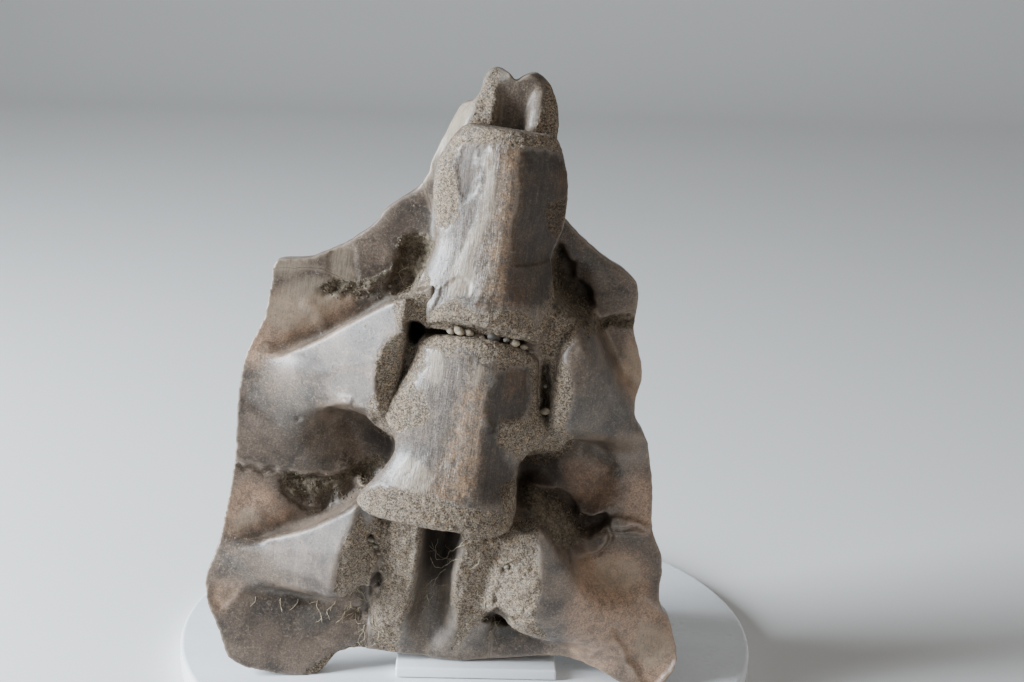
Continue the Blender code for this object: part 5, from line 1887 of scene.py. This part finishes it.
class FOSSIL_OT_pebbles(bpy.types.Operator):
    """Wedge the pebbles into the joint and the cracks"""

    bl_idname = "fossil.pebbles"
    bl_label = "Pebbles"

    def execute(self, context):
        debris = context.scene.fossil_debris
        tree = finished_bones()
        rows = []
        for a, b, size, flatness, tone in PEBBLES:
            around = ((0, 3), (0, -3), (2.5, 0), (-2.5, 0))
            rims = [seen_at(tree, a + x, b + y)[0] for x, y in around]
            eye = Vector(EYE_SLAB)
            reach = sorted((hit - eye).length for hit in rims)[1] + 0.35 * size
            place = eye + (Vector((a, b, SIGHT_LEVEL)) - eye).normalized() * reach
            rows.append((*place, size * MM * debris.pebble_scale, flatness, tone))
        rows = np.array(rows)
        mesh = bpy.data.meshes.new("crack_pebbles")
        mesh.vertices.add(len(rows))
        mesh.vertices.foreach_set("co", to_row(rows[:, :3]).astype(np.float32).ravel())
        for name, column in (("size", 3), ("flatness", 4), ("tone", 5)):
            store(mesh, name, rows[:, column])
        shell = context.scene.fossil_shell
        finish = grit_material("pebble_stone", shell, PEBBLE_TONE, 0.6, toned=True)
        piece = grown(link("crack_pebbles", mesh), pebble_tree(), {
            "Seed": debris.seed, "Lumpiness": 0.9 * MM, "Material": finish})
        keep_piece(piece, "bone_arch")
        return {"FINISHED"}


class FOSSIL_OT_grains(bpy.types.Operator):
    """Scatter grains of sediment over the filled cracks"""

    bl_idname = "fossil.grains"
    bl_label = "Sediment grains"

    def execute(self, context):
        debris = context.scene.fossil_debris
        face = worked_face(context)
        u, v, height, shift, cover = (
            grid[::GRAIN_STEP, ::GRAIN_STEP]
            for grid in (face.u, face.v, face.height, face.shift, face.masks["sediment"]))
        quads = grid_quads(*u.shape)[1]
        inside_edge = outline_depth(u, v, smooth_path(EDGE, closed=True)) > 1.5
        cover = np.where(inside_edge, cover, 0).ravel()
        used = quads[cover[quads].max(axis=1) > 0.3]
        points = np.stack((u.ravel(), (v + shift).ravel(), height.ravel()), -1)
        mesh = mesh_from("sediment_grains", points, used)
        store(mesh, "cover", cover)
        shell = context.scene.fossil_shell
        finish = grit_material("sediment_grit", shell, shell.sediment)
        piece = grown(link("sediment_grains", mesh), grain_tree(), {
            "Density": debris.grain_density, "Smallest": 0.35 * MM, "Largest": debris.grain_size,
            "Seed": debris.seed, "Material": finish})
        keep_piece(piece, "bone_arch")
        return {"FINISHED"}


class FOSSIL_OT_roots(bpy.types.Operator):
    """Lay fine dry roots over the arch and the lower rib"""

    bl_idname = "fossil.roots"
    bl_label = "Fine roots"

    def execute(self, context):
        debris = context.scene.fossil_debris
        points, edges = [], []
        for path in root_paths(finished_bones(), debris.seed):
            edges += [(len(points) + i, len(points) + i + 1) for i in range(len(path) - 1)]
            points += path
        mesh = bpy.data.meshes.new("fine_roots")
        mesh.from_pydata(to_row(np.array(points)).tolist(), edges, [])
        finish = grit_material("dry_root", context.scene.fossil_shell, ROOT_TONE, 0.75)
        piece = grown(link("fine_roots", mesh), root_tree(), {
            "Thickness": debris.root_thickness, "Step": 0.6 * MM, "Wander": 0.7 * MM,
            "Material": finish})
        keep_piece(piece, "bone_arch")
        return {"FINISHED"}


class FOSSIL_OT_stand(bpy.types.Operator):
    """Turn the round base and build the prop"""

    bl_idname = "fossil.stand"
    bl_label = "Display stand"

    def execute(self, context):
        settings = context.scene.fossil_stand
        finish = acrylic_material(settings)
        for piece, node in ((base_disc(settings), "stand_disc"), (back_prop(), "stand_prop")):
            piece.data.materials.append(finish)
            piece.data.shade_smooth()
            piece.data.set_sharp_from_angle(angle=math.radians(35))
            keep_piece(piece, "stand_white", node)
        return {"FINISHED"}


def base_disc(settings):
    """Round base with rounded rims, as one turned profile."""
    radius, high, rim = settings.diameter / 2, settings.thickness, settings.rim
    profile = [(0.0, 0.0)]
    for centre, start in ((rim, -90), (high - rim, 0)):
        for step in range(7):
            angle = math.radians(start + 15 * step)
            profile.append((radius - rim + rim * math.cos(angle), centre + rim * math.sin(angle)))
    profile.append((0.0, high))
    shape = bmesh.new()
    rings = []
    for r, z in profile:
        if r == 0:
            rings.append([shape.verts.new((0, 0, z))] * DISC_SEGMENTS)
            continue
        turns = [2 * math.pi * i / DISC_SEGMENTS for i in range(DISC_SEGMENTS)]
        rings.append([shape.verts.new((r * math.cos(t), r * math.sin(t), z)) for t in turns])
    for low, up in zip(rings, rings[1:]):
        for i in range(DISC_SEGMENTS):
            j = (i + 1) % DISC_SEGMENTS
            corners = [low[i], low[j], up[j], up[i]]
            shape.faces.new(list(dict.fromkeys(corners)))
    bmesh.ops.recalc_face_normals(shape, faces=shape.faces)
    return link_shape("display_disc", shape)


def back_prop():
    """Foot under the shell and upright behind it, in one block with rounded edges."""
    top = DISC_THICKNESS + GAP
    back = []
    for share in np.linspace(0, 1, 9):
        v = PROP_REACH[0] + share * (PROP_REACH[1] - PROP_REACH[0])
        point = to_row((0, v, rise(0, v) - PLATE_THICKNESS - (1.6 - share))) / MM
        back.append((point[1], point[2]))
    profile = [
        (PROP_FRONT, top), (PROP_BACK, top), (PROP_BACK, top + PROP_HEEL),
        (back[-1][0] + PROP_TOP_DEPTH, back[-1][1]), *reversed(back),
        (back[0][0], top + PROP_FOOT_HEIGHT), (PROP_FRONT, top + PROP_FOOT_HEIGHT),
    ]
    shape = bmesh.new()
    left = PROP_CENTRE - PROP_WIDTH / 2
    face = shape.faces.new([shape.verts.new(np.array((left, y, z)) * MM) for y, z in profile])
    raised = bmesh.ops.extrude_face_region(shape, geom=[face])["geom"]
    moved = [item for item in raised if isinstance(item, bmesh.types.BMVert)]
    bmesh.ops.translate(shape, vec=(PROP_WIDTH * MM, 0, 0), verts=moved)
    bmesh.ops.recalc_face_normals(shape, faces=shape.faces)
    piece = link_shape("display_prop", shape)
    modified(piece, "BEVEL", width=0.9 * MM, segments=4, limit_method="ANGLE",
             angle_limit=math.radians(25))
    return bake(piece)


class FOSSIL_OT_stage(bpy.types.Operator):
    """Lay the floor and place the lights and the camera"""

    bl_idname = "fossil.stage"
    bl_label = "Floor, light and camera"

    def execute(self, context):
        settings = context.scene.fossil_stage
        lay_floor(settings)
        light_stage(context, settings)
        place_camera(context, settings)
        return {"FINISHED"}


def lay_floor(settings):
    """Pale floor that curves up far behind the stand."""
    profile = [(-4.0, 0.0), (1.6, 0.0)]
    profile += [(1.6 + math.sin(t), 1 - math.cos(t)) for t in np.linspace(0.1, math.pi / 2, 12)]
    profile.append((2.6, 4.0))
    points = [(x, y, z - 0.0002) for y, z in profile for x in (-5.0, 5.0)]
    faces = [(2 * i, 2 * i + 1, 2 * i + 3, 2 * i + 2) for i in range(len(profile) - 1)]
    mesh = bpy.data.meshes.new("studio_floor")
    mesh.from_pydata(points, [], faces)
    floor = link("studio_floor", mesh)
    made, wires, shader = new_material("studio_paper", 0.8, 0.3)
    place = wires.add("ShaderNodeTexCoord").outputs["Object"]
    plain, darker = colour(settings.floor), colour(settings.floor, 0.96)
    tone = wires.blend(wires.noise(place, 3.0, 3.0), plain, darker)
    wires.tree.links.new(tone, shader.inputs["Base Color"])
    mesh.materials.append(made)
    mesh.shade_smooth()


def aimed(name, place, width, height, power, tone):
    """Soft rectangular light that faces the middle of the shell."""
    data = bpy.data.lights.new(name, "AREA")
    data.shape = "RECTANGLE"
    data.size, data.size_y, data.energy, data.color = width, height, power, tone
    lamp = link(name, data)
    lamp.location = place
    ahead = Vector(LIT_PLACE) - Vector(place)
    lamp.rotation_euler = ahead.to_track_quat("-Z", "Y").to_euler()


def light_stage(context, settings):
    """Cool key from the left, weak warm fill from the right, and an even surround."""
    world = bpy.data.worlds.new("studio_surround")
    world.use_nodes = True
    background = world.node_tree.nodes["Background"]
    background.inputs["Color"].default_value = (1.0, 0.99, 0.97, 1.0)
    background.inputs["Strength"].default_value = settings.surround
    context.scene.world = world
    aimed("key_left", (-1.15, -0.28, 0.50), 0.42, 0.8, settings.key_power, (0.84, 0.92, 1.0))
    aimed("fill_right", (0.95, -0.9, 0.55), 0.9, 0.9, settings.fill_power, (1.0, 0.93, 0.85))


def place_camera(context, settings):
    """Camera at the viewer's eye."""
    pitch, yaw = CAMERA_PITCH, CAMERA_YAW
    level = math.cos(pitch)
    ahead = Vector((math.sin(yaw) * level, math.cos(yaw) * level, -math.sin(pitch)))
    right = Vector((math.cos(yaw), -math.sin(yaw), 0))
    up = right.cross(ahead)
    c, s = math.cos(CAMERA_ROLL), math.sin(CAMERA_ROLL)
    right, up = c * right + s * up, -s * right + c * up
    data = bpy.data.cameras.new("viewer")
    data.sensor_width = 36.0
    data.lens = settings.lens
    camera = link("viewer", data)
    turn = Matrix((right, up, -ahead)).transposed().to_4x4()
    camera.matrix_world = Matrix.Translation((EYE * MM).tolist()) @ turn
    context.scene.camera = camera


class FOSSIL_PT_sidebar(bpy.types.Panel):
    """Sidebar list of the fossil's pieces and their settings"""

    bl_idname = "FOSSIL_PT_sidebar"
    bl_label = "Fossil Turtle Shell"
    bl_space_type = "VIEW_3D"
    bl_region_type = "UI"
    bl_category = "Fossil"

    def draw(self, context):
        for group, kind in SETTINGS.items():
            box = self.layout.box()
            box.label(text=kind.__doc__.rstrip("."))
            for name in kind.__annotations__:
                box.prop(getattr(context.scene, group), name)
        for kind in OPERATORS:
            self.layout.operator(kind.bl_idname)


OPERATORS = (
    FOSSIL_OT_carapace, FOSSIL_OT_centra, FOSSIL_OT_pebbles, FOSSIL_OT_grains, FOSSIL_OT_roots,
    FOSSIL_OT_stand, FOSSIL_OT_stage,
)


def register():
    for kind in (*SETTINGS.values(), *OPERATORS, FOSSIL_PT_sidebar):
        bpy.utils.register_class(kind)
    for name, kind in SETTINGS.items():
        setattr(bpy.types.Scene, name, PointerProperty(type=kind))


def unregister():
    for name in SETTINGS:
        delattr(bpy.types.Scene, name)
    for kind in (FOSSIL_PT_sidebar, *reversed(OPERATORS), *reversed(SETTINGS.values())):
        bpy.utils.unregister_class(kind)


def main():
    """Registers the add-on and builds every piece."""
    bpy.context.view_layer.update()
    register()
    for kind in OPERATORS:
        family, name = kind.bl_idname.split(".")
        getattr(getattr(bpy.ops, family), name)()


if __name__ == "__main__":
    main()
